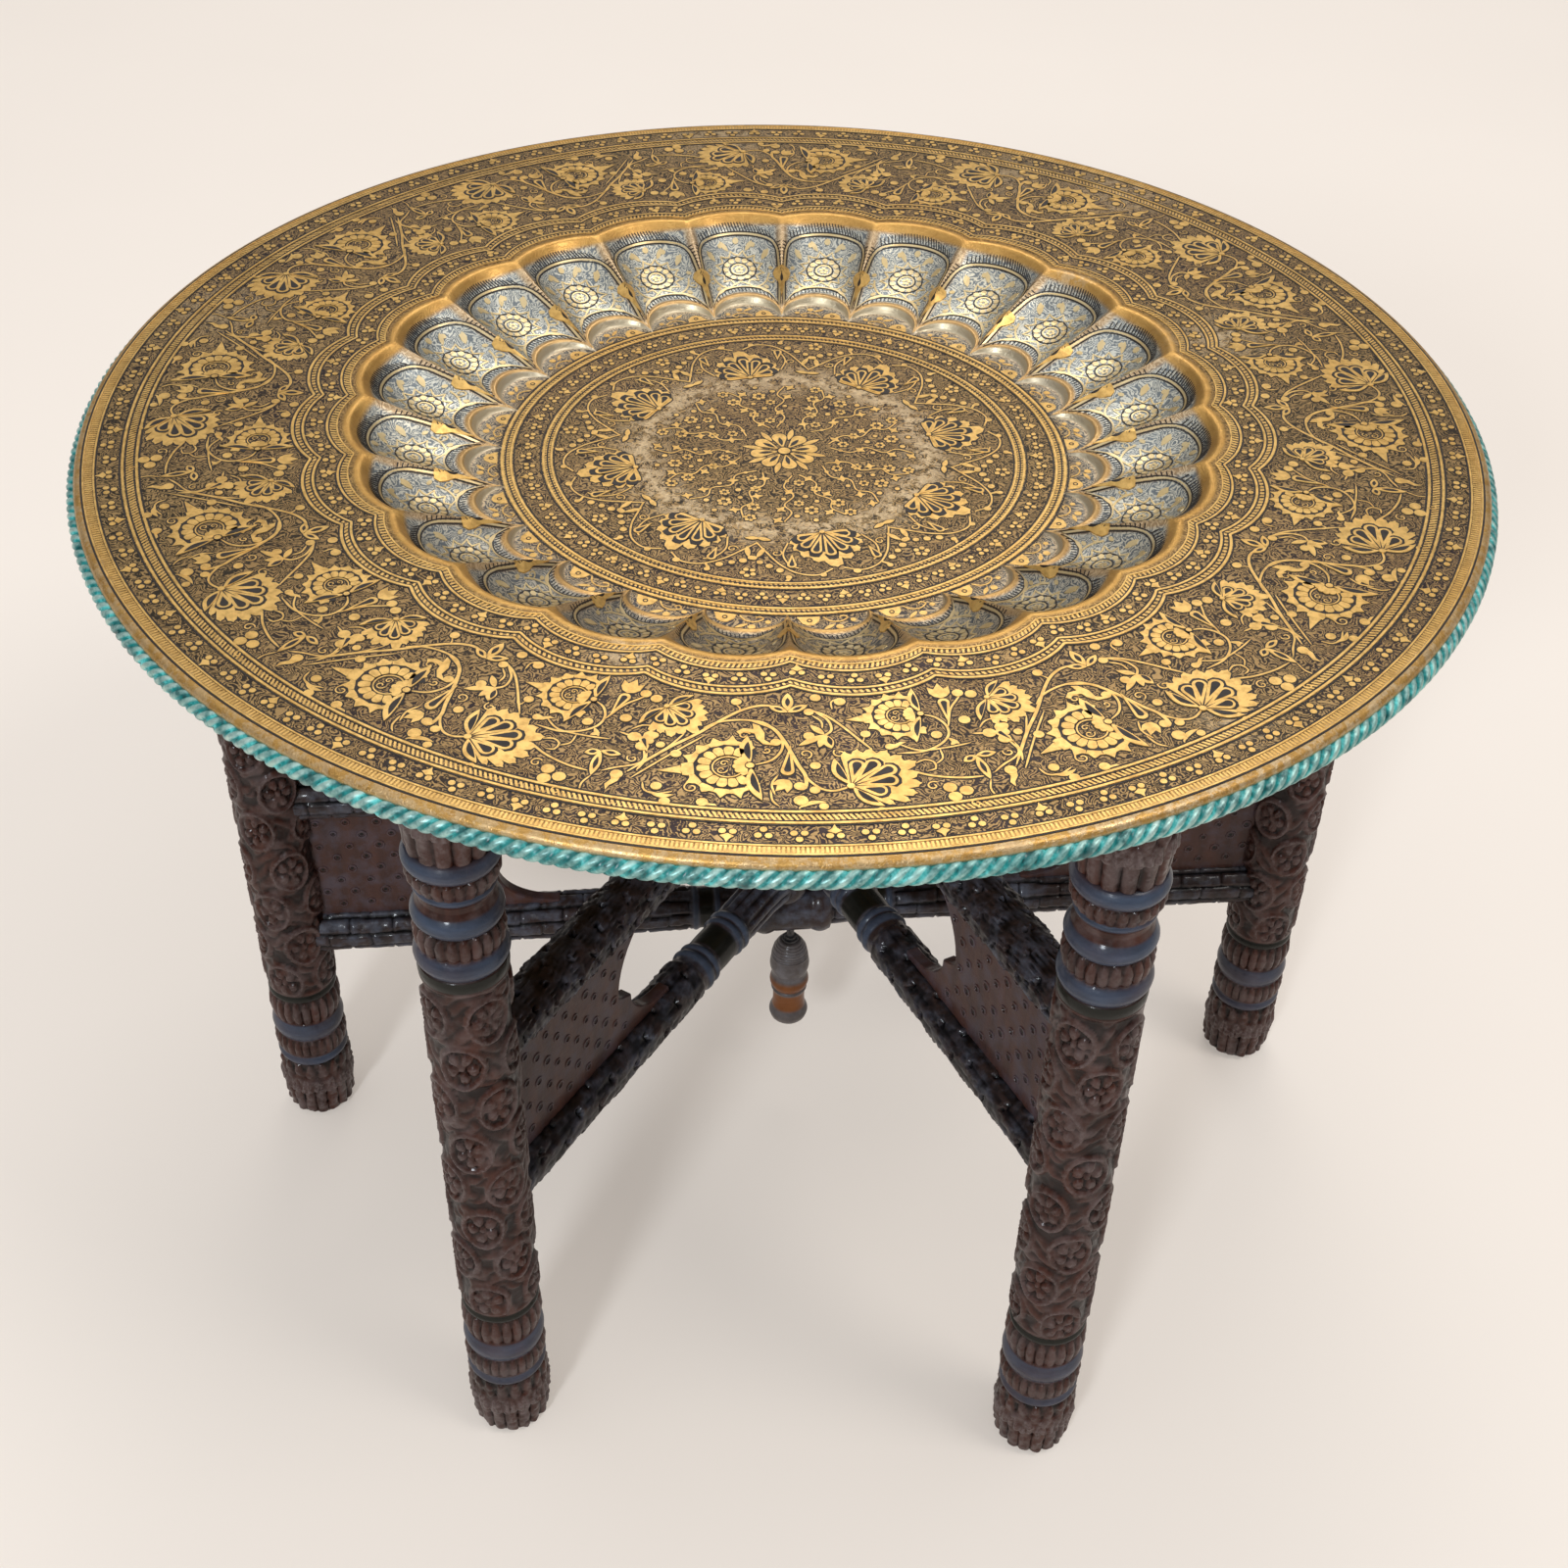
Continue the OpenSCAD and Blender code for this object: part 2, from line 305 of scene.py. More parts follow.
def rope_brass():
    m = Mat("verdigris_rope")
    crest = m.attr("crest")
    n = m.noise(130, 3, 0.65)
    big = m.noise(11, 3, 0.55)
    teal = m.ramp(n, [(0.3, srgb(4, 66, 66)), (0.52, srgb(14, 124, 122)), (0.70, srgb(96, 200, 196))])
    # the pale silvery colour on the strand crests is worn-through metal and also a painted highlight
    metal = m.mix(m.noise(60, 3, 0.6), srgb(150, 190, 176), srgb(222, 232, 224))
    worn = m.math("MULTIPLY", m.ramp(crest, [(0.62, 0.0), (0.95, 1.0)]), m.ramp(n, [(0.35, 0.1), (0.62, 0.95)]))
    worn = m.math("MULTIPLY", worn, m.ramp(big, [(0.3, 0.45), (0.6, 1.0)]))
    colour = m.mix(worn, teal, metal)
    deep = m.ramp(crest, [(0.0, 1.0), (0.35, 0.0)])
    colour = m.mix(m.math("MULTIPLY", deep, 0.75), colour, srgb(5, 32, 32))
    m.set(color=colour, metal=m.math("MULTIPLY", worn, 0.8), rough=m.ramp(n, [(0.3, 0.28), (0.7, 0.5)]))
    m.bump(n, 0.3, 0.0003)
    return m.m


def wood(name, deep, mid, high, painted_sheen, gloss=(0.3, 0.5), scale=1.0):
    """Carved dark wood. relief is 0 in the cuts and 1 on the high points; ring is 1 on smooth turned bands. The deep
    colour is painted shade in the cuts, the sheen colour is a painted blue-grey sheen in random patches and a painted
    highlight on the high points, and the rings get a painted blue-grey sky reflection.
    """
    m = Mat(name)
    relief, ring = m.attr("relief"), m.attr("ring")
    n = m.noise(70 * scale, 4, 0.62)
    g = m.noise(18, 4, 0.6, vec=m.scaled(5, 5, 0.8))
    fine = m.noise(420, 3, 0.65)
    base = m.mix(m.ramp(g, [(0.32, 0.0), (0.66, 1.0)]), mid, high)
    # painted sheen: the sheen colour in random patches stands in for a blue-grey reflection of the sky
    base = m.mix(m.ramp(n, [(0.45, 0.0), (0.68, 0.55)]), base, painted_sheen)
    # painted shade: the deep colour darkens the cuts where the relief is low
    base = m.mix(m.ramp(relief, [(0.10, 0.98), (0.50, 0.0)]), base, deep)
    # painted highlight: the sheen colour on the high points of the carving
    tip_highlight = m.math("MULTIPLY", m.ramp(relief, [(0.62, 0.0), (0.94, 0.95)]), m.ramp(fine, [(0.38, 0.1), (0.62, 1.0)]))
    base = m.mix(tip_highlight, base, painted_sheen)
    # painted reflection: the streaked blue-grey on smooth turned rings stands in for sky reflected in them
    band = m.mix(m.noise(45, 3, 0.6, vec=m.scaled(1, 1, 4)), srgb(22, 25, 32), srgb(80, 92, 112))
    base = m.mix(ring, base, band)
    olive = m.mix(n, srgb(16, 16, 12), srgb(30, 29, 22))
    base = m.mix(m.attr("olive"), base, olive)
    base = m.mix(m.attr("waist"), base, m.mix(n, srgb(84, 46, 20), srgb(132, 78, 36)))
    m.set(color=base, rough=m.ramp(m.noise(140, 3, 0.6), [(0.3, gloss[0]), (0.75, gloss[1])]), coat=0.2, coat_rough=0.13, spec=0.12)
    m.bump(m.math("ADD", fine, m.math("MULTIPLY", g, 0.8)), 0.35, 0.0006)
    return m.m


def iron():
    m = Mat("dark_iron")
    n = m.noise(300, 4, 0.6)
    colour = m.ramp(n, [(0.35, srgb(42, 40, 40)), (0.6, srgb(86, 84, 84)), (0.75, srgb(104, 70, 48))])
    m.set(color=colour, metal=0.75, rough=m.ramp(n, [(0.3, 0.38), (0.7, 0.62)]))
    m.bump(n, 0.4, 0.0003)
    return m.m


ENGRAVED = tray_ground()
RAISED = raised_brass()
INLAY = dark_inlay()
FLUTEMETAL = flute_metal()
BACK = tray_back()
ROPE = rope_brass()
# In each wood below, the first colour is painted shade for the cuts and the last is the painted sheen and highlight
# colour.
CARVED = wood("carved_dark_wood", srgb(6, 4, 4), srgb(42, 24, 20), srgb(70, 39, 30), srgb(98, 84, 82))
RAILWOOD = wood("carved_rail_wood", srgb(10, 9, 11), srgb(36, 31, 32), srgb(56, 42, 39), srgb(92, 98, 112))
PANEL = wood("panel_wood", srgb(12, 8, 8), srgb(54, 36, 33), srgb(76, 48, 40), srgb(82, 76, 86), gloss=(0.4, 0.6))
FINIALWOOD = wood("turned_wood", srgb(26, 18, 15), srgb(74, 66, 62), srgb(92, 84, 82), srgb(112, 110, 114), gloss=(0.28, 0.45))
IRON = iron()

# ---------------------------------------------------------------- tray surface

FLUTES = 24
CUSP = 0.84
COLS = 24 * FLUTES


def flute_u(theta_deg):
    return ((theta_deg - CUSP) / 15.0) % 1.0


def arc(u):
    return 1 - (2 * u - 1) ** 2


def lip_r(u):
    return 227.9 + 6.9 * arc(u)


def foot_r(u):
    return 159.5 + 18.5 * arc(u) ** 0.56


def wall_z(t, u):
    """Height of the flute wall, t from 0 at the foot's crest to 1 at the lip, u across the flute."""
    crest = FLOOR + 1.2 + 4.4 * arc(u) ** 0.5
    zc = np.interp(t, [0, 0.04, 0.12, 0.25, 0.4, 0.55, 0.7, 0.82, 0.9, 0.96, 1.0],
                   [0, -0.5, -0.3, 0.6, 2.4, 5.2, 9.4, 14.2, 18.4, 22.4, 25.4])
    zc = 494.4 + zc + (crest - 494.4) * (1 - smoothstep(0, 0.3, t))
    zr = np.interp(t, [0, 0.1, 0.3, 0.5, 0.7, 0.9, 1.0], [0, 3.4, 9.8, 15.6, 21.2, 27.0, 29.6])
    zr = crest + zr * (TOP - 0.2 - crest) / 29.6
    w = arc(u) ** 0.82
    return zc * w + zr * (1 - w)


def tray_rows(theta):
    """Rings of (radius, height) from the centre out, for each angle, and three paint amounts."""
    u = flute_u(np.degrees(theta))
    lip, foot = lip_r(u), foot_r(u)
    one = np.ones_like(u)
    rows = []

    def add(r, z, plain=0.0, silver_and_reflection=0.0, verd=0.0):
        rows.append((r * one, z * one, plain * one, silver_and_reflection * one, verd * one))

    for r in (6, 20, 40, 60, 80, 100, 120, 140, 150, 156):
        add(r, FLOOR)
    inner = foot - 4.6
    for k in (0.2, 0.45, 0.7, 0.9, 1.0):
        add(156 + (inner - 156) * k, FLOOR, silver_and_reflection=0.55 * k, plain=0.25 * (k == 1.0))
    h = wall_z(0 * u, u) - FLOOR
    for d, f in ((3.7, 0.06), (2.9, 0.24), (2.2, 0.5), (1.6, 0.74), (0.9, 0.92), (0.2, 1.0), (-0.7, 1.02), (-1.6, 0.96)):
        add(foot - d, FLOOR + h * f, plain=0.3 if f < 0.9 else 0.75, silver_and_reflection=1.0 if f < 0.9 else 0.6)
    start = foot + 1.6
    for t in np.concatenate([np.linspace(0.045, 0.84, 22), np.linspace(0.86, 0.985, 9)]):
        r = start + (lip - start) * t
        rim = smoothstep(0.9, 0.96, t)
        add(r, wall_z(t, u), plain=np.maximum(0.9 * rim, 0.55 * (1 - smoothstep(0.03, 0.09, np.minimum(u, 1 - u)))),
            silver_and_reflection=1.0 - 0.9 * rim)
    for d, z in ((0.0, -0.35), (0.9, 0.1), (2.0, 0.28), (3.2, 0.22), (4.4, 0.0)):
        add(lip + d, TOP + z, plain=0.95 if d < 4 else 0.4)
    for k in (0.35, 0.7, 1.0):
        add(lip + 4.4 + (246 - lip - 4.4) * k, TOP)
    for r in (262, 280, 300, 320, 345, 366, 369, 371.5):
        add(r, TOP, plain=0.75 if r > 368 else 0.0)
    for r, z, v in ((373.5, -0.15, 0.0), (375.0, -0.6, 0.0), (376.1, -1.5, 0.0), (376.8, -2.7, 0.05), (377, -3.8, 0.3), (377, -5, 0.95), (377, -8.5, 1), (377, -11, 1)):
        add(r, TOP + z, plain=0.8, verd=v)
    return rows


def build_tray():
    theta = np.arange(COLS) / COLS * TAU + math.radians(CUSP)
    rows = tray_rows(theta)
    R = np.array([r[0] for r in rows])
    Z = np.array([r[1] for r in rows])
    T = np.broadcast_to(theta, R.shape)
    V = np.stack([R * np.cos(T), R * np.sin(T), Z], -1)
    n, c = R.shape
    verts = np.concatenate([V.reshape(-1, 3), [[0, 0, FLOOR]]])
    plain = np.append(np.array([r[2] for r in rows]).ravel(), 0)
    # painted reflection: the flutes toward the front get less of the silvery colour than those at the back
    front = np.exp(-(((np.degrees(theta) % 360) - 268) / 52) ** 2)
    silver_and_reflection = np.append((np.array([r[3] for r in rows]) * (1 - 0.6 * front)).ravel(), 0)
    verd = np.append(np.array([r[4] for r in rows]).ravel(), 0)
    x, y = verts[:, 0], verts[:, 1]
    rad, ang = np.hypot(x, y), np.degrees(np.arctan2(y, x)) % 360
    # cove marks the crescent steps at the foot of the flutes, which carry a painted highlight
    cove = np.append(((R > 158) & (R < np.broadcast_to(foot_r(flute_u(np.degrees(theta))) + 1.0, R.shape)) & (Z < TOP - 8) & (np.abs(Z - FLOOR) > 0.05)).astype(float).ravel(), 0)
    star = np.clip(1.25 - np.abs(rad - 76 - 7 * np.abs(np.cos(4 * np.radians(ang - 14)))) / 13, 0, 1) * 0.8
    rim = smoothstep(368, 373, rad) * (0.62 + 0.38 * np.exp(-(((ang - 306 + 180) % 360 - 180) / 22) ** 2))
    patch = np.zeros_like(rad)
    for a, r0, s, k in ((18, 262, 24, 0.7), (52, 352, 30, 0.6), (65, 330, 22, 0.6), (164, 338, 26, 0.5), (98, 355, 40, 0.5), (253, 246, 13, 0.8), (42, 236, 12, 0.6), (306, 345, 14, 0.5)):
        px, py = r0 * math.cos(math.radians(a)), r0 * math.sin(math.radians(a))
        patch = np.maximum(patch, k * np.exp(-((x - px) ** 2 + (y - py) ** 2) / (s * s)))
    wear = np.clip(np.maximum(np.maximum(star, rim * 0.8), patch), 0, 1)
    faces = [grid(n, c), cap(0, c, len(verts) - 1, flip=True)]
    top = make("tray_face", verts, faces, ENGRAVED, "tray", replaces=["tray_sheet"],
               attrs={"plain": plain, "silver_and_reflection": silver_and_reflection, "verdigris": verd, "wear": wear, "cove": cove})
    # underside, one sheet thickness below the face
    keep = slice(0, None, 2)
    P = V[:, keep]
    du = np.roll(P, -1, 1) - np.roll(P, 1, 1)
    dv = np.gradient(P, axis=0)
    nrm = np.cross(du, dv)
    nrm /= np.linalg.norm(nrm, axis=-1, keepdims=True) + 1e-12
    nrm *= np.sign(nrm[..., 2:3] + 1e-6)
    side = Z[:, keep] < TOP - 3.0
    outer = (R[:, keep] > 376) & side
    low = P - 1.2 * np.where(outer[..., None], np.stack([np.cos(T[:, keep]), np.sin(T[:, keep]), 0 * R[:, keep]], -1), nrm)
    m = P.shape[1]
    verts = np.concatenate([P[-1], low[::-1].reshape(-1, 3), [[0, 0, FLOOR - 1.2]]])
    faces = [grid(n + 1, m), cap(n * m, m, len(verts) - 1)]
    faces = [f[:, ::1] for f in faces]
    make("tray_underside", verts, faces, BACK, "tray", sharp=50)
    return top


def build_rope():
    R0, z0 = 376.4, 511.2
    length = TAU * R0
    turns = 84
    n, c = 84 * 25, 20
    s = np.arange(n) / n
    phi = np.arange(c) / c * TAU
    S, P = np.meshgrid(s, phi, indexing="ij")
    lay = P - TAU * turns * S
    lobe = np.abs(np.sin(2 * lay))
    crest = lobe ** 0.55
    wob = N1(S * 300, P, 300) - 0.5
    rad = 3.45 + 1.55 * crest + 0.18 * wob
    T = S * TAU
    rr = R0 + rad * np.cos(P)
    V = np.stack([rr * np.cos(T), rr * np.sin(T), z0 + rad * np.sin(P)], -1).reshape(-1, 3)
    f = grid(n, c)
    last = (n - 1) * c
    j = np.arange(c)
    k = (j + 1) % c
    f = np.concatenate([f, np.stack([last + j, last + k, k, j], -1)])
    make("rope_edge_twisted", V, [f], ROPE, "tray", replaces=["rope_edge"], attrs={"crest": crest.ravel()})


build_tray()
build_rope()

# ---------------------------------------------------------------- engraved figures


class Art:
    """Flat figures with upright sides, in layers over a surface."""

    def __init__(self, under=None):
        self.v, self.t, self.n = [], [], 0
        self.count, self.under = 0, under

    def step(self):
        """A tiny rise that differs from figure to figure, so no two faces lie in one plane."""
        self.count += 1
        return 0.0045 * ((self.count * 7) % 19)

    def skirt(self, p, w, closed=True):
        """A flat dark line round a figure, in the layer below."""
        if self.under is None:
            return
        d = np.roll(p, -1, 0) - np.roll(p, 1, 0)
        if not closed:
            d = np.gradient(p, axis=0)
        d = d / (np.linalg.norm(d, axis=1, keepdims=True) + 1e-12)
        nrm = np.stack([d[:, 1], -d[:, 0]], -1)
        n = len(p)
        h = 0.05 + 0.0021 * (self.count % 17)
        inner, outer = (p - nrm * 0.2, p + nrm * w) if closed else (p - nrm * w, p + nrm * w)
        v = np.concatenate([np.column_stack([inner, np.full(n, h)]), np.column_stack([outer, np.full(n, h)])])
        j = np.arange(n if closed else n - 1)
        k = (j + 1) % n
        self.under.add(v, np.concatenate([np.stack([j, j + n, k + n], -1), np.stack([j, k + n, k], -1)]))

    def add(self, v, t):
        self.v.append(np.asarray(v, float))
        self.t.append(np.asarray(t, np.int64) + self.n)
        self.n += len(v)

    def poly(self, pts, h, base=-0.12, fan=True):
        p = np.asarray(pts, float)
        q = np.roll(p, -1, 0)
        if np.sum(p[:, 0] * q[:, 1] - q[:, 0] * p[:, 1]) < 0:
            p = p[::-1]
        n = len(p)
        h = h + self.step()
        self.skirt(p, 0.8)
        top = np.column_stack([p, np.full(n, h)])
        low = np.column_stack([p, np.full(n, base)])
        j = np.arange(n)
        k = (j + 1) % n
        side = np.concatenate([np.stack([n + j, n + k, k], -1), np.stack([n + j, k, j], -1)])
        if fan:
            c = np.append(p.mean(0), h)
            v = np.concatenate([top, low, [c]])
            t = np.stack([j, k, np.full(n, 2 * n)], -1)
        else:
            v = np.concatenate([top, low])
            t = np.array([[int(i) for i in f] for f in tessellate_polygon([[Vector((a, b, 0)) for a, b in p]])])
            a, b, c = p[t[:, 0]], p[t[:, 1]], p[t[:, 2]]
            cr = (b[:, 0] - a[:, 0]) * (c[:, 1] - a[:, 1]) - (b[:, 1] - a[:, 1]) * (c[:, 0] - a[:, 0])
            t = np.where(cr[:, None] > 0, t, t[:, ::-1])
        self.add(v, np.concatenate([t, side]))

    def ribbon(self, pts, w, h, closed=False, taper=(1.0, 1.0), base=-0.12):
        p = np.asarray(pts, float)
        h = h + self.step()
        if not closed:
            self.skirt(p, 0.5 * w + 0.7, closed=False)
        d = (np.roll(p, -1, 0) - np.roll(p, 1, 0)) if closed else np.gradient(p, axis=0)
        d /= np.linalg.norm(d, axis=1, keepdims=True) + 1e-12
        nrm = np.stack([-d[:, 1], d[:, 0]], -1)
        n = len(p)
        s = np.linspace(0, 1, n)
        ww = 0.5 * w * np.minimum(1, np.minimum(taper[0] + s * 6, taper[1] + (1 - s) * 6))[:, None]
        L, R = p + nrm * ww, p - nrm * ww
        v = np.concatenate([np.column_stack([L, np.full(n, h)]), np.column_stack([R, np.full(n, h)]),
                            np.column_stack([L, np.full(n, base)]), np.column_stack([R, np.full(n, base)])])
        j = np.arange(n if closed else n - 1)
        k = (j + 1) % n
        quads = [(j + n, k + n, k, j), (j, k, k + 2 * n, j + 2 * n), (k + n, j + n, j + 3 * n, k + 3 * n)]
        t = np.concatenate([x for a, b, c, e in quads for x in (np.stack([a, b, c], -1), np.stack([a, c, e], -1))])
        self.add(v, t)

    def bake(self):
        return np.concatenate(self.v), np.concatenate(self.t)


def spun(v, t, n, start=0):
    """n copies turned about the tray's centre."""
    V, T = [], []
    for k in range(n):
        a = TAU * k / n
        c, s = math.cos(a), math.sin(a)
        V.append(np.column_stack([v[:, 0] * c - v[:, 1] * s, v[:, 0] * s + v[:, 1] * c, v[:, 2]]))
        T.append(t + k * len(v))
    return np.concatenate(V), np.concatenate(T)


def circle(cx, cy, r, n=12, sy=1.0, rot=0.0):
    a = np.arange(n) / n * TAU
    x, y = r * np.cos(a), r * sy * np.sin(a)
    c, s = math.cos(rot), math.sin(rot)
    return np.stack([cx + x * c - y * s, cy + x * s + y * c], -1)


def lens(p0, p1, w, bend=0.0, n=9, at=0.5):
    """A pointed leaf from p0 to p1."""
    p0, p1 = np.array(p0, float), np.array(p1, float)
    d = p1 - p0
    L = np.hypot(*d)
    d /= L
    nn = np.array([-d[1], d[0]])
    s = np.linspace(0, 1, n)
    k = s ** (math.log(0.5) / math.log(at))
    half = 0.5 * w * np.sin(math.pi * k) ** 0.85
    mid = p0 + np.outer(s * L, d) + np.outer(bend * L * np.sin(math.pi * s), nn)
    a, b = mid + nn * half[:, None], mid - nn * half[:, None]
    return np.concatenate([a, b[::-1][1:-1]])


def drop(p0, p1, w, n=11):
    """A teardrop: sharp at p0, round at p1."""
    p0, p1 = np.array(p0, float), np.array(p1, float)
    L = np.hypot(*(p1 - p0))
    d = (p1 - p0) / L
    nn = np.array([-d[1], d[0]])
    r = min(0.5 * w, 0.45 * L)
    c = L - r
    b = math.acos(r / c)
    a = np.linspace(math.pi - b, -(math.pi - b), n)
    x, y = c + r * np.cos(a), r * np.sin(a)
    q = p0 + np.outer(x, d) + np.outer(y, nn)
    return np.concatenate([[p0], q])


def curve(pts, step=1.6):
    """A smooth line through the points."""
    p = np.asarray(pts, float)
    if len(p) == 2:
        m = max(2, int(np.hypot(*(p[1] - p[0])) / step))
        return p[0] + (p[1] - p[0]) * np.linspace(0, 1, m + 1)[:, None]
    q = np.concatenate([[2 * p[0] - p[1]], p, [2 * p[-1] - p[-2]]])
    out = []
    for i in range(1, len(q) - 2):
        a, b, c, d = q[i - 1:i + 3]
        m = max(2, int(np.hypot(*(c - b)) / step))
        t = (np.arange(m) / m)[:, None]
        out.append(0.5 * (2 * b + (c - a) * t + (2 * a - 5 * b + 4 * c - d) * t ** 2 + (3 * b - a - 3 * c + d) * t ** 3))
    return np.concatenate(out + [p[-1:]])


def spiral(cx, cy, r, a0, turns, n=18, inner=0.25):
    s = np.linspace(0, 1, n)
    a = a0 + turns * TAU * s
    rr = r * (1 - (1 - inner) * s)
    return np.stack([cx + rr * np.cos(a), cy + rr * np.sin(a)], -1)


def frame_at(origin, toward):
    """Local axes at origin, first axis pointing to toward."""
    o, t = np.array(origin, float), np.array(toward, float)
    d = (t - o) / np.hypot(*(t - o))
    n = np.array([-d[1], d[0]])
    return lambda p: o + np.outer(np.atleast_2d(p)[:, 0], d) + np.outer(np.atleast_2d(p)[:, 1], n)


H1, H2, H3, H4 = 0.16, 0.30, 0.42, 0.54


def polar(pairs):
    a = np.radians([p[0] for p in pairs])
    r = np.array([p[1] for p in pairs], float)
    return np.stack([r * np.cos(a), r * np.sin(a)], -1)


def rosette(B, D, base, centre, s, point, leaves):
    """A flower seen from the side: toothed outer petals, a ring of round petals, a small flower at the base, two leaves."""
    f = frame_at(centre, np.array(centre) * 2 - np.array(base))
    D.ribbon(f(polar([(a, 12.3) for a in range(-150, 151, 10)]) * s), 8.6 * s, H1)
    for a, r in ((-124, 20.0), (-100, 21.0), (-76, 20.2), (-51, 19.4), (-26, 20.4), (26, 20.4), (51, 19.4), (76, 20.2), (100, 21.0), (124, 20.0)):
        B.poly(f(polar([(a - 11.6, 15.4), (a - 12.4, 17.8), (a - 7.5, 18.0), (a - 4, 19.2), (a, r + 0.8), (a + 4, 19.2), (a + 7.5, 18.0), (a + 12.4, 17.8), (a + 11.6, 15.4), (a, 14.9)]) * s), H2)
    m = point / s
    B.poly(f(polar([(-13.5, 15.4), (-13.5, 18.6), (-10.5, 20.6), (-8.5, 20.2), (-5, 23.2), (-1.6, m - 2.5), (0, m), (1.6, m - 2.5), (5, 23.2), (8.5, 20.2), (10.5, 20.6), (13.5, 18.6), (13.5, 15.4), (0, 14.9)]) * s), H2)
    for k in range(11):
        a = -120 + 24 * k
        B.poly(f(polar([(a - 10.6, 8.3), (a - 11.2, 11.6), (a - 9.0, 13.0), (a - 4, 13.8), (a + 4, 13.8), (a + 9.0, 13.0), (a + 11.2, 11.6), (a + 10.6, 8.3), (a, 8.0)]) * s), H3)
    B.ribbon(f(polar([(a, 6.9) for a in range(-140, 141, 14)]) * s), 0.7 * s, H2)
    B.ribbon(f(spiral(3.0, 1.6, 2.6, 3.0, -1.0, 12) * s), 0.6 * s, H1)
    B.ribbon(f(spiral(1.6, -2.8, 2.0, -3.0, 1.0, 10) * s), 0.55 * s, H1)
    o = -8.6
    for a in (-64, -32, 0, 32, 64):
        q = polar([(a, 6.8)])[0]
        B.poly(f(drop((o, 0), (o + q[0], q[1]), 3.4, 8) * s), H3 + 0.05)
    b = np.array(base, float)
    for p, side in zip(leaves, (1, -1)):
        p = np.array(p, float)
        B.poly(lens(b + (p - b) * 0.06, p, 5.6 * s, 0.07 * side), H3)
        D.poly(lens(b + (p - b) * 0.20, b + (p - b) * 0.80, 3.0 * s, 0.06 * side), H4)
    B.poly(circle(*base, 1.8 * s, 10), H4 + 0.08)
    D.ribbon(circle(*base, 2.2 * s, 12), 0.45 * s, H4 + 0.04, closed=True)


def palmette(B, D, base, lobes, leaves, border, s, dark=0.0):
    """A fan of outlined lobes with dark drops, two side leaves and a toothed border."""
    b = np.array(base, float)
    out = []
    for i, (a, r) in enumerate(border):
        gap = (border[i][0] - border[i - 1][0]) if i else (border[1][0] - border[0][0])
        out += [(a - gap * 0.46, r - 4.4 * s), (a - gap * 0.34, r - 2.2 * s), (a - gap * 0.12, r - 1.2 * s), (a, r), (a + gap * 0.14, r - 1.4 * s), (a + gap * 0.36, r - 2.0 * s)]
    out += [(border[-1][0] + gap * 0.5, border[-1][1] * 0.74)]
    B.poly(b + np.concatenate([polar(out), [[0, 0]]]), H1, fan=False)
    fan = []
    for a, r in lobes:
        w = 560 * s / max(r, 6) * 0.5
        fan += [(a + w * 1.05, r * 0.93), (a + w * 0.55, r + 1.0 * s + dark), (a, r + 1.5 * s + dark), (a - w * 0.55, r + 1.0 * s + dark), (a - w * 1.05, r * 0.93)]
    D.poly(b + np.concatenate([polar(fan), [[0, 0]]]), H2, fan=False)
    for a, r in lobes:
        q = polar([(a, r)])[0]
        B.poly(drop(b + q * 0.10, b + q, 7.2 * s), H3)
        D.poly(drop(b + q * 0.40, b + q * 0.93, 4.2 * s), H4)
    for (a, r), side in zip(leaves, (1, -1)):
        q = polar([(a, r)])[0]
        B.poly(lens(b + q * 0.06, b + q, 5.2 * s, 0.09 * side), H3)
        D.poly(lens(b + q * 0.2, b + q * 0.82, 2.9 * s, 0.08 * side), H4)
    B.poly(circle(*b, 1.8 * s, 10), H4 + 0.08)


def pod(B, D, p0, p1, w, h=H3):
    B.poly(drop(p0, p1, w), h)
    p0, p1 = np.array(p0, float), np.array(p1, float)
    D.poly(drop(p0 + (p1 - p0) * 0.3, p0 + (p1 - p0) * 0.9, w * 0.52), h + 0.1)


def tulip(B, at, direction, s=1.0):
    """A small solid bud with three points."""
    a = math.radians(direction)
    f = frame_at(at, (at[0] + math.cos(a), at[1] + math.sin(a)))
    B.poly(f(np.array([(0, 0), (1.2, 2.6), (3.4, 4.2), (7.4, 4.6), (5.8, 2.2), (9.6, 0), (5.8, -2.0), (7.6, -4.2), (3.2, -4.0), (1.2, -2.4)]) * s), H1)


def trefoil(B, balls, r, tail=None):
    for x, y in balls:
        B.poly(circle(x, y, r, 10), H2)
    if tail:
        c = np.mean(balls, 0)
        B.ribbon(curve([c, tail]), 1.0, H1, taper=(1, 0.2))


def dots(B, pts, r=2.1, h=H2):
    for p in pts:
        B.poly(circle(p[0], p[1], r * (0.85 + 0.3 * N1(np.array(p[0] * 1.7 + 300), np.array(p[1] * 1.3 + 400))), 10), h)


def comma(B, at, direction, s=1.0, flip=1):
    """A dot with a curling leaf tail."""
    a = math.radians(direction)
    f = frame_at(at, (at[0] + math.cos(a), at[1] + math.sin(a)))
    B.poly(f(circle(0, 0, 2.2, 10) * s), H2)
    B.poly(f(np.array([(0.5, -1.8 * flip), (3.2, -1.6 * flip), (6.0, 0.2 * flip), (8.6, 0.6 * flip), (6.0, 1.9 * flip), (3.0, 0.8 * flip), (0.5, 1.8 * flip)]) * s), H1, fan=False)


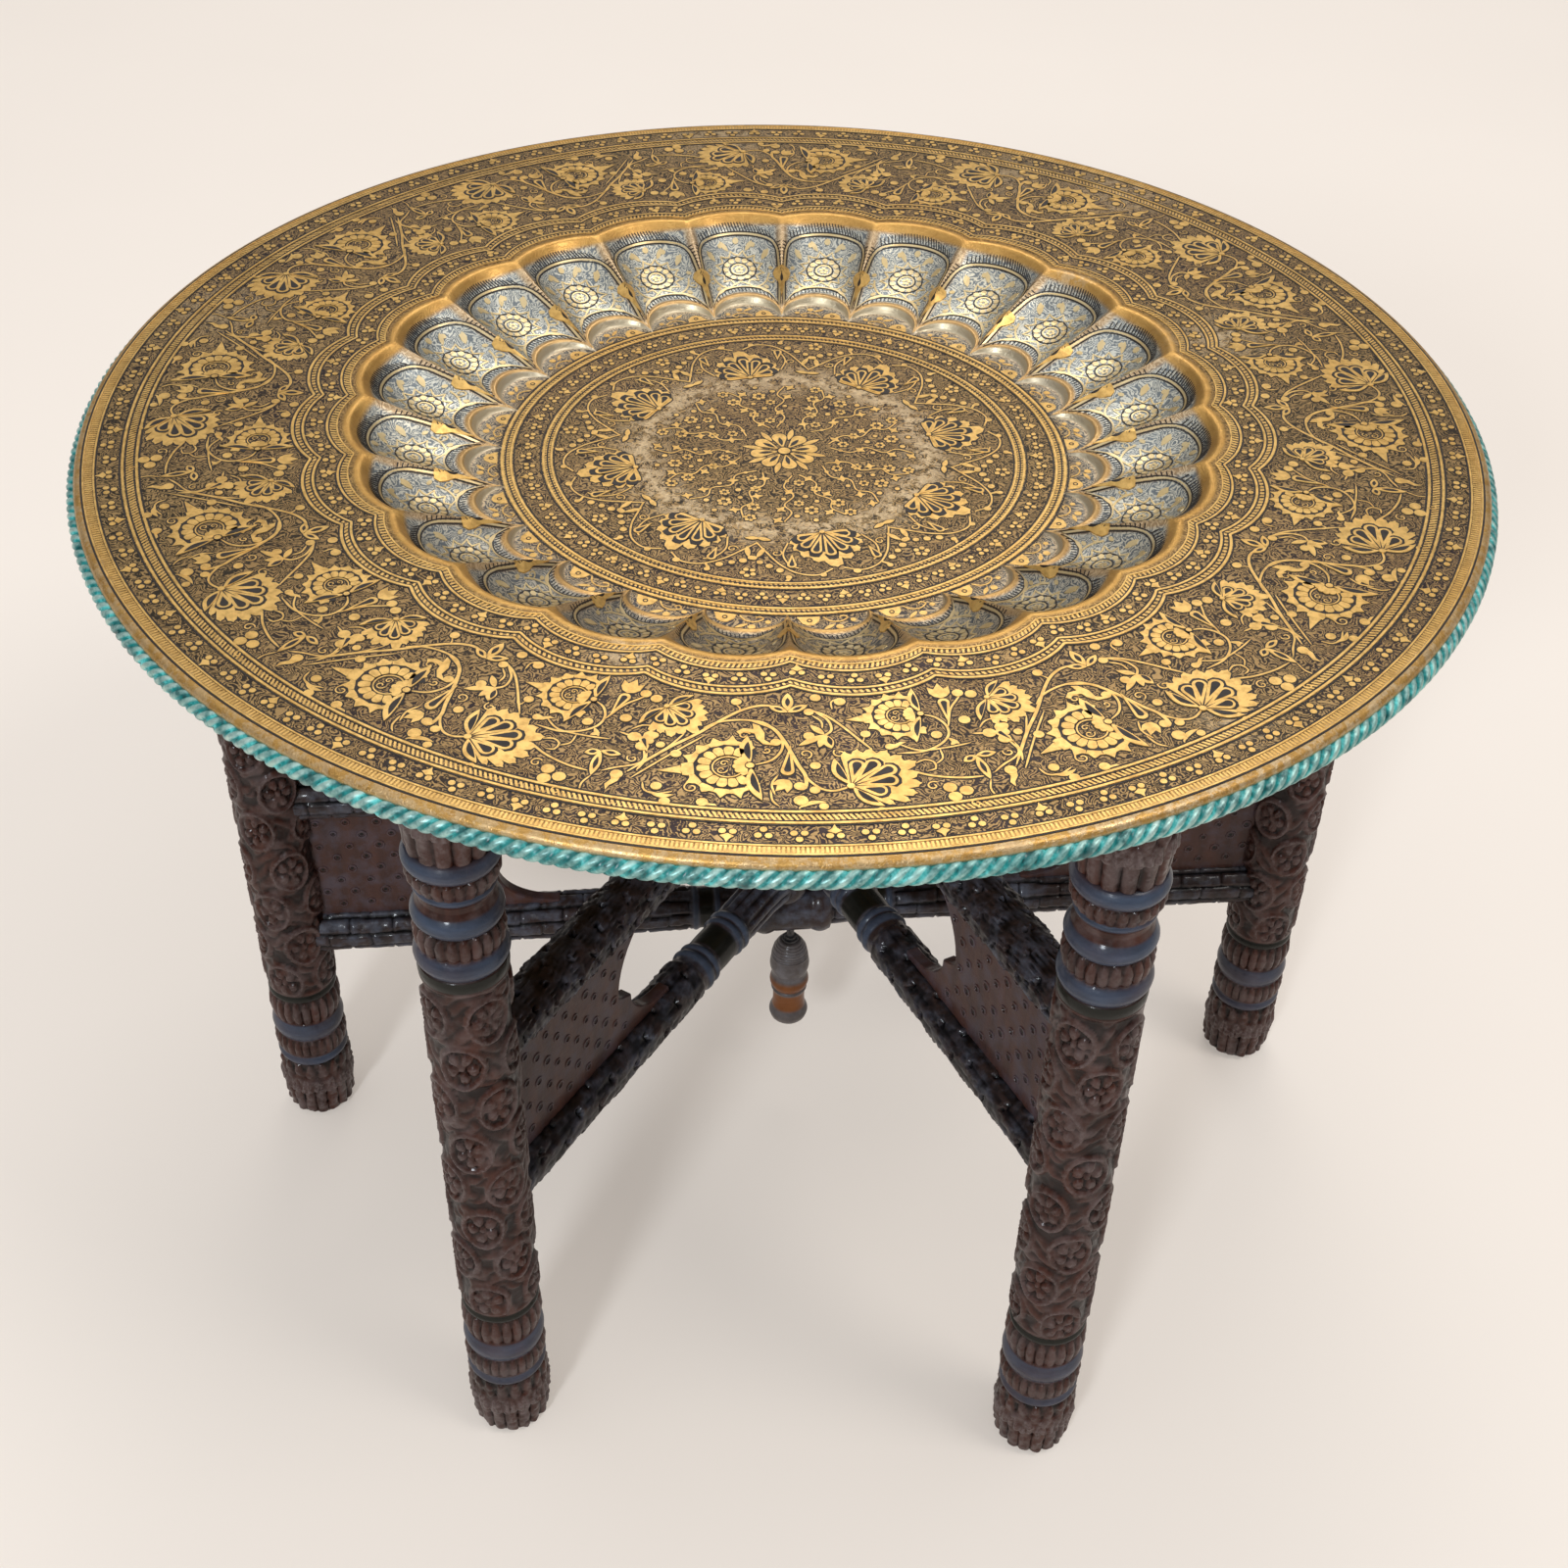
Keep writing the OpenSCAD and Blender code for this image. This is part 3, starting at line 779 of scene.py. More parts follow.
def border_sector():
    """One of the twelve repeats of the wide border, drawn at the front of the tray."""
    U = Art()
    B, D = Art(U), Art()
    rosette(B, D, (-9, -324), (-18.5, -325), 1.0, 30.5, [(-10.5, -303.5), (-3.5, -347)])
    palmette(B, D, (34.5, -336.5), [(78.5, 17.8), (56.5, 21.2), (34.5, 23.8), (14.5, 21.2), (-12, 16)], [(111, 19.8), (-42, 19)],
             [(96, 24), (83, 26), (70, 28), (57, 30), (44, 31.5), (32, 34), (19, 31.5), (6, 31), (-7, 29), (-19, 27), (-31, 22)], 1.0)
    rosette(B, D, (66.5, -285.5), (57, -287), 0.82, 24.5, [(63, -267), (64, -306)])
    palmette(B, D, (97, -272.5), [(32, 10.5), (1, 13.5), (-25, 15.4), (-49.5, 14), (-75, 11.6)], [(66, 14.5), (-103, 17.5)],
             [(48, 17), (32, 17.5), (18, 19.5), (4, 21), (-9, 21), (-22, 24), (-37, 21.5), (-52, 22), (-66, 19.5), (-80, 19.5)], 0.72)
    # pods and buds
    pod(B, D, (8.5, -309), (7, -330), 6.0)
    tulip(B, (8, -333), 232, 1.0)
    pod(B, D, (79, -292), (77, -274), 5.4)
    tulip(B, (76.5, -273.5), 98, 1.15)
    B.poly([(-15.5, -300.5), (-12.5, -298), (-8, -298.5), (-8.5, -294.5), (-5.5, -296), (-3, -301), (-3, -306), (1.5, -309.8), (-3.5, -309), (-6.6, -305), (-7.4, -301.6), (-11.5, -300.4), (-14, -302.5)], H2, fan=False)
    for c, a, b in (((7, -285), (7, -272), 5.2), ((7, -286), (-1.5, -281.5), 4.2), ((7, -286), (16, -280.5), 4.2)):
        B.poly(lens(c, a, b, n=9), H2)
        c2, a2 = np.array(c, float), np.array(a, float)
        D.poly(lens(c2 + (a2 - c2) * 0.25, c2 + (a2 - c2) * 0.72, b * 0.42), H3)
    B.poly(circle(16.5, -285.5, 2.4, 10), H2)
    for p, w in (((98.5, -311.5), 4.2), ((84, -318.5), 4.4), ((95, -330), 4.4)):
        B.poly(lens((89.5, -314), p, w), H2)
        c2, a2 = np.array((89.5, -314.0)), np.array(p)
        D.poly(lens(c2 + (a2 - c2) * 0.25, c2 + (a2 - c2) * 0.75, w * 0.45), H3)
    for p, w in (((17, -295), 3.2), ((26.5, -311), 5.0), ((12, -309.5), 3.4), ((21, -310.5), 3.6)):
        B.poly(lens((23.5, -301.5), p, w), H2)
    D.poly(lens((25, -303), (26.5, -309), 2.2), H3)
    trefoil(B, [(96.5, -298), (102, -293.8), (103, -301.8)], 3.1, (89, -298.5))
    trefoil(B, [(77, -336), (84, -337.8), (79, -342)], 3.1)
    trefoil(B, [(-48.5, -310.5), (-53.5, -308), (-51.5, -304)], 2.1)
    B.poly(drop((-54, -316), (-56.5, -305), 4.2), H2)
    D.poly(drop((-54.4, -313.5), (-56.2, -306.5), 2.0), H3)
    dots(B, [(12.5, -337), (19, -339.5), (19.3, -323), (22.8, -350), (-16, -279), (19.5, -275), (41.5, -300.5), (2, -307.5), (73, -300), (84, -269.5), (-45, -348.5)], 2.35)
    dots(B, [(90, -270), (86, -289), (-29, -348.5), (16.5, -302.5), (-41.5, -316.5), (30.5, -277.5)], 2.5)
    dots(B, [(13, -346.5), (-49, -338.5)], 2.9)
    comma(B, (52, -309), 20, 0.95)
    comma(B, (104, -323.5), -78, 1.3, -1)
    comma(B, (-29, -348.5), -28, 0.9)
    B.poly(lens((12, -351.5), (24, -347), 2.4, 0.12), H1)
    B.poly(lens((-52, -342), (-41, -344), 2.6, -0.16), H1)
    for a, b in (((83, -306), (78, -302)), ((82, -303.5), (79, -307))):
        B.poly(lens(a, b, 2.2), H1)
    # stems
    S = 1.15
    for pts, w in (
            ([(-8, -323.5), (0, -320), (4.5, -313), (4.6, -305), (1, -298.5), (-4, -293.5), (-14, -292), (-24, -294), (-30, -298)], S),
            ([(-10, -292), (0, -297), (5, -305), (9, -315), (12, -323), (15, -330), (15, -338), (12.5, -339.5)], 1.7),
            ([(12.5, -323), (16, -332), (22, -338.5), (28, -339.5), (35, -336)], S),
            ([(-62, -329), (-45, -312.5), (-33, -302.5), (-21, -291), (-12, -284), (-4, -281.2), (2, -282.5), (6, -286)], 1.5),
            ([(-60, -333), (-44, -317), (-30, -304)], 0.9),
            ([(18, -284), (25, -288.5), (32, -296), (38, -303.5), (44, -311)], S),
            ([(19, -285), (25, -291), (26.5, -298), (23.5, -302), (21, -306)], S),
            ([(67, -285.5), (73, -287.5), (77.5, -293), (78.3, -300), (74, -307), (66, -312), (55, -313.5)], S),
            ([(60, -325), (70, -328.3), (82, -329.3), (92, -328)], S),
            ([(55, -306.5), (65, -311), (78, -308.5), (88, -305)], 0.9),
            ([(78.5, -294), (80, -282), (83, -275), (85, -271)], 1.0),
            ([(104, -302), (108.5, -309), (107, -314), (101, -320), (97, -325)], 1.0),
            ([(114, -285), (113, -296), (111, -305), (109, -312)], 0.9),
            ([(0, -340), (1, -347), (4, -350.5)], 0.9), ([(3, -330), (0.5, -336), (2, -343)], 0.9),
            ([(-16, -281), (-14, -285), (-20, -290)], 0.8), ([(18, -288), (22, -292), (22.5, -297)], 0.9),
            ([(-54, -316), (-55, -322), (-58, -328)], 1.0), ([(-55, -336), (-54, -341), (-49, -343.5), (-42, -342)], 0.9),
            ([(27, -283), (26.5, -278), (29, -275.5)], 0.8), ([(41, -302.5), (40, -306), (37, -303)], 0.8),
            ([(63, -320), (67, -317.5), (71, -319), (71.5, -323.5), (68, -325)], 0.9),
            ([(95, -330), (94.5, -336), (96.5, -341)], 0.8), ([(74, -310), (75, -316), (72, -320)], 0.8),
            ([(-62, -300), (-57, -297), (-51, -298), (-47, -302)], 0.8)):
        B.ribbon(curve(pts), w, H1, taper=(0.35, 0.35))
    for cx, cy, r, a0, t in ((14, -352, 2.2, 1.0, 0.9), (-12, -303, 2.8, 0.4, 0.9), (19, -345, 0.1, 0, 0.1), (-34, -339, 3.4, 2.0, 1.0), (47, -352, 2.2, 0, 0.9), (70, -335, 3.0, 1.0, 1.0),
                            (104, -311, 2.6, 3.0, 0.9), (30, -314, 3.0, 2.4, 1.0), (15, -315, 3.2, 5.0, 1.0), (-31, -288, 2.6, 1.0, 0.9), (88, -346, 2.4, 2.0, 1.0), (-2, -313, 2.0, 4.0, 0.9)):
        B.ribbon(spiral(cx, cy, r, a0, t), 0.7, H1)
    out = []
    for art in (B, D, U):
        v, t = art.bake()
        out.append((v + [-4.8, 9.2, 0], t))
    return out


def ring_pts(r, n=720, wave=None):
    a = np.arange(n) / n * TAU
    rr = r if wave is None else wave(np.degrees(a))
    return np.stack([rr * np.cos(a), rr * np.sin(a)], -1)


def ticks(A, inner, outer, n, w, h, slant=0.0):
    """Short strokes between two rings given as functions of the angle in degrees."""
    a = np.arange(n) / n * 360
    r0, r1 = inner(a), outer(a + slant)
    t0, t1 = np.radians(a), np.radians(a + slant)
    d0, d1 = 0.5 * w / r0, 0.5 * w / r1
    P = [np.stack([r * np.cos(t), r * np.sin(t), np.full(n, h)], -1) for r, t in ((r0, t0 - d0), (r0, t0 + d0), (r1, t1 + d1), (r1, t1 - d1))]
    v = np.stack(P, 1).reshape(-1, 3)
    k = np.arange(n)[:, None] * 4
    A.add(v, np.concatenate([k + [0, 3, 2], k + [0, 2, 1]]))


def trefoil_band(B, radius, n, size, wave=None, phase=0.0, leaf=True):
    for k in range(n):
        a = 360 * (k + phase) / n
        t = math.radians(a)
        r = radius if wave is None else float(wave(np.array([a]))[0])
        up = 1 if k % 2 else -1
        f = frame_at((r * math.cos(t), r * math.sin(t)), ((r + up) * math.cos(t), (r + up) * math.sin(t)))
        for x, y in ((-0.35, 1.1), (-0.35, -1.1)):
            B.poly(f(circle(x * size * 1.2, y * size, size * 0.82, 8)), H2)
        if leaf and k % 3 == 0:
            B.poly(f(np.array([(1.0, 1.5), (1.9, 0.5), (3.0, 0), (1.9, -0.5), (1.0, -1.5), (0.2, 0)]) * size), H2)
        else:
            B.poly(f(circle(1.45 * size, 0, size * 0.82, 8)), H2)


def scallop(low, high, power=1.0):
    return lambda a: low + (high - low) * arc(flute_u(a)) ** power


def const(r):
    return lambda a: np.full(np.shape(a), float(r))


def flat_rings():
    """Hatched lines, dotted bands and the scalloped border round the bowl."""
    D = Art()
    B = Art(D)
    for r, w in ((344.6, 1.3), (351.8, 1.3), (366.2, 0.9), (371.6, 0.8)):
        B.ribbon(ring_pts(r), w, H2, closed=True)
    for r, w in ((343.2, 0.9), (346.0, 0.7), (350.4, 0.7), (353.3, 0.9), (365.2, 0.8), (372.6, 0.9)):
        D.ribbon(ring_pts(r), w, H1, closed=True)
    ticks(B, const(346.4), const(350.0), 900, 1.25, H1, 0.35)
    ticks(B, const(367.0), const(370.8), 1150, 1.1, H1)
    trefoil_band(B, 359.3, 150, 2.05)
    s1, s2 = scallop(256.6, 265.2, 0.9), scallop(251.6, 259.8, 0.9)
    s3, s4 = scallop(238.6, 247.0, 0.9), scallop(234.2, 241.8, 0.9)
    for s, w in ((s1, 1.4), (s2, 1.2), (s3, 1.1), (s4, 0.8)):
        B.ribbon(ring_pts(0, 960, s), w, H2, closed=True)
    for base, off in ((s1, 1.4), (s1, -1.2), (s2, 1.2), (s2, -1.2), (s3, 1.2), (s3, -1.0)):
        D.ribbon(ring_pts(0, 960, lambda a, b=base, o=off: b(a) + o), 0.75, H1, closed=True)
    ticks(B, lambda a: s2(a) + 1.3, lambda a: s1(a) - 1.2, 560, 1.5, H1, 0.25)
    ticks(B, lambda a: s4(a) + 0.5, lambda a: s3(a) - 1.0, 620, 1.2, H1, -0.25)
    trefoil_band(B, 0, 120, 1.95, wave=scallop(244.9, 253.6, 0.9), phase=0.5)
    return B, D


def floor_art():
    """The medallion on the bowl's floor: eight palmettes round a rosette, dotted bands and double rings."""
    D = Art()
    B = Art(D)
    for r, w in ((156.2, 1.6), (151.4, 1.4), (133.6, 1.3), (129.2, 1.2)):
        B.ribbon(ring_pts(r, 360), w, H2, closed=True)
    for r in (158.0, 154.4, 149.8, 135.2, 131.4, 127.8):
        D.ribbon(ring_pts(r, 360), 0.8, H1, closed=True)
    ticks(B, const(152.4), const(155.2), 380, 1.3, H1, 0.4)
    ticks(B, const(130.0), const(132.8), 330, 1.2, H1, 0.4)
    trefoil_band(B, 142.2, 84, 1.75)
    # one eighth, drawn toward -Y
    F = Art()
    E = Art(F)
    palmette(E, F, (0, -84), [(-162, 15), (-138, 18), (-114, 20.5), (-90, 22.5), (-66, 20.5), (-42, 18), (-18, 15)], [],
             [(-176, 15), (-160, 21), (-144, 23.5), (-126, 26), (-108, 28.5), (-90, 33), (-72, 28.5), (-54, 26), (-36, 23.5), (-20, 21), (-4, 15)], 0.82, dark=2.2)
    for m in (-1, 1):
        E.ribbon(curve([(m * 3, -118), (m * 12, -122), (m * 22, -118), (m * 29, -108), (m * 33, -96), (m * 36, -86)]), 1.0, H1)
        E.ribbon(curve([(m * 20, -90), (m * 25, -100), (m * 24, -110), (m * 20, -114)]), 0.9, H1)
        pod(E, F, (m * 20.5, -101), (m * 23.5, -113), 5.0)
        dots(E, [(m * 30, -114), (m * 34.5, -109), (m * 38.5, -104.5), (m * 42, -99.5), (m * 9, -122.5)], 1.9)
        comma(E, (m * 27, -121), 180 - 60 * m, 0.75, m)
        E.poly(lens((m * 33, -92), (m * 39, -100), 3.0), H2)
        E.poly(lens((m * 28, -86), (m * 35, -82), 3.0), H2)
        E.ribbon(spiral(m * 28, -98, 3.0, 0.6, m * 1.0), 0.7, H1)
    for x, y in ((46.5, -112.3),):
        for a in range(0, 360, 72):
            q = polar([(a, 3.0)])[0]
            E.poly(circle(x + q[0], y + q[1], 1.5, 8), H2)
    # worn inner star: small blossoms and leaves
    for k, (x, y, r) in enumerate(((0, -62, 2.6), (9, -66, 2.2), (-9, -66, 2.2), (16, -58, 2.4), (-16, -58, 2.4), (0, -48, 2.2), (7.5, -42, 2.0), (-7.5, -42, 2.0), (5, -54, 1.9), (-5, -54, 1.9), (12, -48, 1.9), (-12, -48, 1.9), (0, -34, 2.0), (6, -31, 1.7), (-6, -31, 1.7), (20, -68, 2.2), (-20, -68, 2.2), (0, -72, 2.0))):
        if k % 3 == 0:
            for a in range(0, 360, 60):
                q = polar([(a + 15, r * 1.1)])[0]
                E.poly(circle(x + q[0], y + q[1], r * 0.52, 7), H1)
        elif k % 3 == 1:
            E.poly(lens((x - 2.6, y - 2), (x + 2.6, y + 2.4), 2.6), H1)
            E.poly(lens((x - 2.4, y + 2.2), (x + 2.4, y - 2.4), 2.0), H1)
        else:
            E.poly(circle(x, y, r * 0.75, 8), H1)
    for m in (-1, 1):
        E.ribbon(curve([(m * 2, -26), (m * 9, -36), (m * 6, -46), (m * 13, -54), (m * 11, -62), (m * 17, -70)]), 0.9, H1)
    for art, src in ((B, E), (D, F)):
        v, t = src.bake()
        v, t = spun(v, t, 8)
        c, s = math.cos(math.radians(14)), math.sin(math.radians(14))
        v = np.column_stack([v[:, 0] * c - v[:, 1] * s, v[:, 0] * s + v[:, 1] * c, v[:, 2]])
        art.add(v, t)
    # centre rosette
    for k in range(8):
        a = TAU * k / 8 + 0.2
        q = np.array([math.cos(a), math.sin(a)])
        B.poly(drop(q * 3.2, q * 19, 8.4), H1)
        D.poly(lens(q * 6, q * 14.5, 2.4), H2)
        p = np.array([math.cos(a + TAU / 16), math.sin(a + TAU / 16)])
        B.poly(lens(p * 12, p * 24, 3.2), H1)
    B.poly(circle(0, 0, 3.4, 14), H2)
    D.ribbon(circle(0, 0, 3.9, 18), 0.7, H3, closed=True)
    return B, D


def flute_point(x, t, k):
    """A point on the wall of flute k: x from -1 to 1 across, t from 0 at the foot to 1 at the lip."""
    u = 0.5 + 0.5 * x
    th = np.radians(CUSP + 15 * (k + u))
    start = foot_r(u) + 1.6
    r = start + (lip_r(u) - start) * t
    return np.stack([r * np.cos(th), r * np.sin(th), wall_z(t, u)], -1)


def flute_art():
    """Hatching, arches, a flower and pearls in each flute, drops on the ridges, and the niches at the foot."""
    B, D = Art(), Art()

    # drawn in local millimetres: x across (half width about 27 at the lip, 22 at the foot), y from the foot up, 56 long
    L = 56.0
    arch = [(-20.5, 3), (-22.5, 16), (-24.0, 30), (-24.0, 38), (-21, 43.5), (-13, 46.8), (0, 48), (13, 46.8), (21, 43.5), (24.0, 38), (24.0, 30), (22.5, 16), (20.5, 3)]
    B.ribbon(curve(arch, 2.0), 0.95, 0.24)
    D.ribbon(curve([(x * 0.955, y - 0.9 if y > 40 else y) for x, y in arch], 2.0), 0.7, 0.16)
    D.ribbon(curve([(x * 1.045, y + 0.9 if y > 40 else y) for x, y in arch], 2.0), 0.6, 0.16)
    for i in range(25):
        x = -22 + 44 * i / 24
        yb = 48.9 - 4.8 * (abs(x) / 22) ** 2.6
        D.ribbon([(x, yb), (x + 1.9, yb + 4.2)], 0.55, 0.07)
    for m in (-1, 1):
        for i in range(13):
            y = 16 + 2.1 * i
            D.ribbon([(m * (23.8 + 0.02 * y), y), (m * (25.8 + 0.03 * y), y + 0.9)], 0.5, 0.07)
    # flower
    cx, cy = 0, 24
    teeth = []
    for k in range(12):
        a = 30 * k + 15
        teeth += [(a - 13, 11.0), (a - 6, 12.4), (a, 14.6), (a + 6, 12.4)]
    q = polar(teeth) + [cx, cy]
    B.ribbon(np.concatenate([q, q[:1]]), 1.0, 0.16)
    D.ribbon(circle(cx, cy, 9.9, 26), 0.8, 0.14, closed=True)
    for k in range(12):
        p = polar([(30 * k, 8.0)])[0]
        B.poly(circle(cx + p[0], cy + p[1], 1.75, 8), 0.22)
    D.ribbon(circle(cx, cy, 5.5, 18), 0.7, 0.14, closed=True)
    B.ribbon(circle(cx, cy, 4.4, 16), 0.8, 0.2, closed=True)
    for k in range(5):
        p = polar([(72 * k + 18, 1.7)])[0]
        B.poly(circle(cx + p[0], cy + p[1], 1.0, 7), 0.22)
    dots_local = [(0, 44.2, 1.9), (-10, 41.5, 1.5), (10, 41.5, 1.5), (-17, 36, 1.4), (17, 36, 1.4), (-18.5, 24, 1.3), (18.5, 24, 1.3), (-14, 9, 1.4), (14, 9, 1.4)]
    for x, y, r in dots_local:
        B.poly(circle(x, y, r, 8), 0.2)
    for m in (-1, 1):
        B.ribbon(curve([(m * 2, 12), (m * 8, 8), (m * 14, 13), (m * 17, 20)]), 0.9, 0.16)
        B.poly(lens((m * 9, 8), (m * 16, 4.5), 2.6), 0.18)
        B.poly(lens((m * 14, 31), (m * 19, 38), 3.0), 0.18)
        B.poly(lens((m * 5, 38), (m * 10, 44), 2.6), 0.18)
        B.ribbon(spiral(m * 17.5, 15, 2.6, 0, m * 1.0, 10), 0.7, 0.16)
    # foot arc with hatching, just above the crest
    D.ribbon(curve([(-19.5, 0.5), (-12, 5.2), (0, 7.0), (12, 5.2), (19.5, 0.5)]), 0.7, 0.16)
    B.ribbon(curve([(-19.0, 1.6), (-12, 6.3), (0, 8.1), (12, 6.3), (19.0, 1.6)]), 0.8, 0.2)
    for i in range(17):
        x = -16 + 2 * i
        y1 = 6.4 - 4.6 * (abs(x) / 19) ** 2
        D.ribbon([(x, max(0.2, y1 - 3.4)), (x + 0.6, y1)], 0.5, 0.07)
    outB, outD = Art(), Art()
    for art, out, lift in ((B, outB, 0.10), (D, outD, 0.06)):
        v, t = art.bake()
        for k in range(FLUTES):
            half = np.interp(v[:, 1], [0, L], [21.2, 30.0])
            x = np.clip(v[:, 0] / half, -0.995, 0.995)
            tt = np.clip(v[:, 1] / L, 0, 0.97)
            p = flute_point(x, tt, k)
            e = 0.01
            px = flute_point(np.clip(x + e, -1, 1), tt, k) - flute_point(np.clip(x - e, -1, 1), tt, k)
            pt = flute_point(x, np.clip(tt + e, 0, 1), k) - flute_point(x, np.clip(tt - e, 0, 1), k)
            n = np.cross(pt, px)
            n *= np.sign(n[:, 2:3])
            n /= np.linalg.norm(n, axis=1, keepdims=True) + 1e-12
            out.add(p + n * (v[:, 2:3] + lift), t)
    # drops on the ridges
    RB, RD = Art(), Art()
    f = np.array
    RB.poly(f([(0, 8.0), (-1.2, 14), (-2.2, 19.5), (-4.4, 23.5), (-5.4, 27.4), (-4.2, 29.8), (-1.4, 29.4), (0, 28.4), (1.4, 29.4), (4.2, 29.8), (5.4, 27.4), (4.4, 23.5), (2.2, 19.5), (1.2, 14)]), 0.5)
    RD.poly(lens((0, 17.5), (0, 24.0), 1.8), 0.72)
    RD.ribbon(circle(0, 25.6, 1.2, 9), 0.5, 0.72, closed=True)
    gold = Art()
    for k in range(FLUTES):
        for art, out in ((RB, gold), (RD, outD)):
            v, t = art.bake()
            th = np.radians(CUSP + 15 * k) + v[:, 0] / 190.0
            u = flute_u(np.degrees(th))
            start = foot_r(u) + 1.6
            r0 = 163.0
            r = r0 + (229.0 - r0) * (v[:, 1] / 62.0)
            tt = np.clip((r - start) / (lip_r(u) - start), 0, 1)
            out.add(np.stack([r * np.cos(th), r * np.sin(th), wall_z(tt, u) + v[:, 2] + 0.25], -1), t)
    # niche floors: a half circle with a dot at one side and curls
    NB, ND = Art(), Art()
    NB.poly(f([(-16.8, 0.6), (-4.8, 0.6), (-5.6, 4.6), (-8.6, 7.6), (-11.4, 8.0), (-14.2, 6.2)]), H1)
    ND.ribbon(circle(-10.4, 3.8, 1.2, 9), 0.6, H2, closed=True)
    NB.ribbon(curve([(-3, 1), (0, 4.6), (5, 5.6), (9.5, 3), (7.5, 0.8), (5.4, 2.2)]), 0.8, H1)
    NB.poly(circle(4.2, 10, 2.0, 8), H1)
    NB.poly(lens((-4, 11.6), (2, 7.6), 2.2), H1)
    NB.poly(circle(12, 5.2, 1.5, 8), H1)
    for k in range(FLUTES):
        for art, out in ((NB, gold), (ND, outD)):
            v, t = art.bake()
            th = np.radians(CUSP + 15 * (k + 0.5)) + v[:, 0] / 166.0
            r = 158.4 + v[:, 1]
            out.add(np.stack([r * np.cos(th), r * np.sin(th), FLOOR + v[:, 2]], -1), t)
    return outB, outD, gold


def build_ornament():
    sector = border_sector()
    for name, mat, (v, t) in zip(("border_flowers", "border_cuts", "border_outlines"), (RAISED, INLAY, INLAY), (spun(v, t, 12) for v, t in sector)):
        make(name, v + [0, 0, TOP], [t], mat, "tray", smooth=False)
    B, D = flat_rings()
    for name, mat, art in (("border_bands", RAISED, B), ("border_band_cuts", INLAY, D)):
        v, t = art.bake()
        make(name, v + [0, 0, TOP], [t], mat, "tray", smooth=False)
    B, D = floor_art()
    for name, mat, art in (("floor_medallion", RAISED, B), ("floor_medallion_cuts", INLAY, D)):
        v, t = art.bake()
        make(name, v + [0, 0, FLOOR], [t], mat, "tray", smooth=False)
    B, D, G = flute_art()
    for name, mat, art in (("flute_figures", FLUTEMETAL, B), ("flute_cuts", INLAY, D), ("ridge_drops", RAISED, G)):
        v, t = art.bake()
        make(name, v, [t], mat, "tray", smooth=False)


build_ornament()


# ---------------------------------------------------------------- legs

CAD_LEG = None


def bead(z0, z1, r, b):
    return [(r + b * math.sin(math.pi * i / 8), z0 + (z1 - z0) * i / 8) for i in range(9)]


def leg_profile(top):
    p = [(17.2, 0), (19.6, 1.0), (21.0, 4), (21.8, 14), (22.2, 30), (22.6, 44), (22.2, 49)]
    p += bead(50, 56, 21.6, 1.2) + [(21.4, 57.5), (22.4, 60), (23.0, 66), (22.2, 71)] + bead(72.5, 87, 21.2, 2.0)
    p += [(20.6, 88), (21.6, 91), (22.4, 97), (21.8, 104), (20.9, 107)] + bead(108, 113.5, 20.9, 1.0)
    p += [(21.3, 114.5), (22.0, 117), (22.0, 369), (22.4, 371)] + bead(371.5, 378.5, 22.2, 0.5) + bead(379, 391, 21.4, 2.4)
    p += [(20.8, 392), (21.8, 394), (22.4, 400), (21.2, 405)] + bead(406, 417, 20.6, 2.3) + [(19.8, 418), (18.4, 421), (18.2, 424), (19.2, 426)]
    p += bead(426.5, 430, 19.6, 0.8) + [(20.2, 431), (22.4, 436), (22.6, 441)] + bead(442, 452, 21.8, 2.1)
    p += [(20.6, 453), (21.2, 458), (22.4, 480), (22.6, 500), (21.2, top - 6), (19, top - 1.5), (17, top)]
    return p


def tongues(s, z, n, circ, z0, z1, depth, sharp=0.6, phase=0.0):
    """A row of upright rounded tongues from z0 to z1 around the leg: height above the ground between them."""
    w = circ / n
    x = ((s / w + phase) % 1.0) * 2 - 1
    t = (z - z0) / (z1 - z0)
    inside = (t > 0) & (t < 1)
    half = np.sqrt(np.clip(1 - np.clip((t - 0.45) / 0.55, 0, 1) ** 2, 0, 1)) * 0.9
    body = np.clip(1 - (np.abs(x) / np.maximum(half, 1e-3)) ** 2.4, 0, 1) ** sharp
    return np.where(inside, depth * body, 0.0)


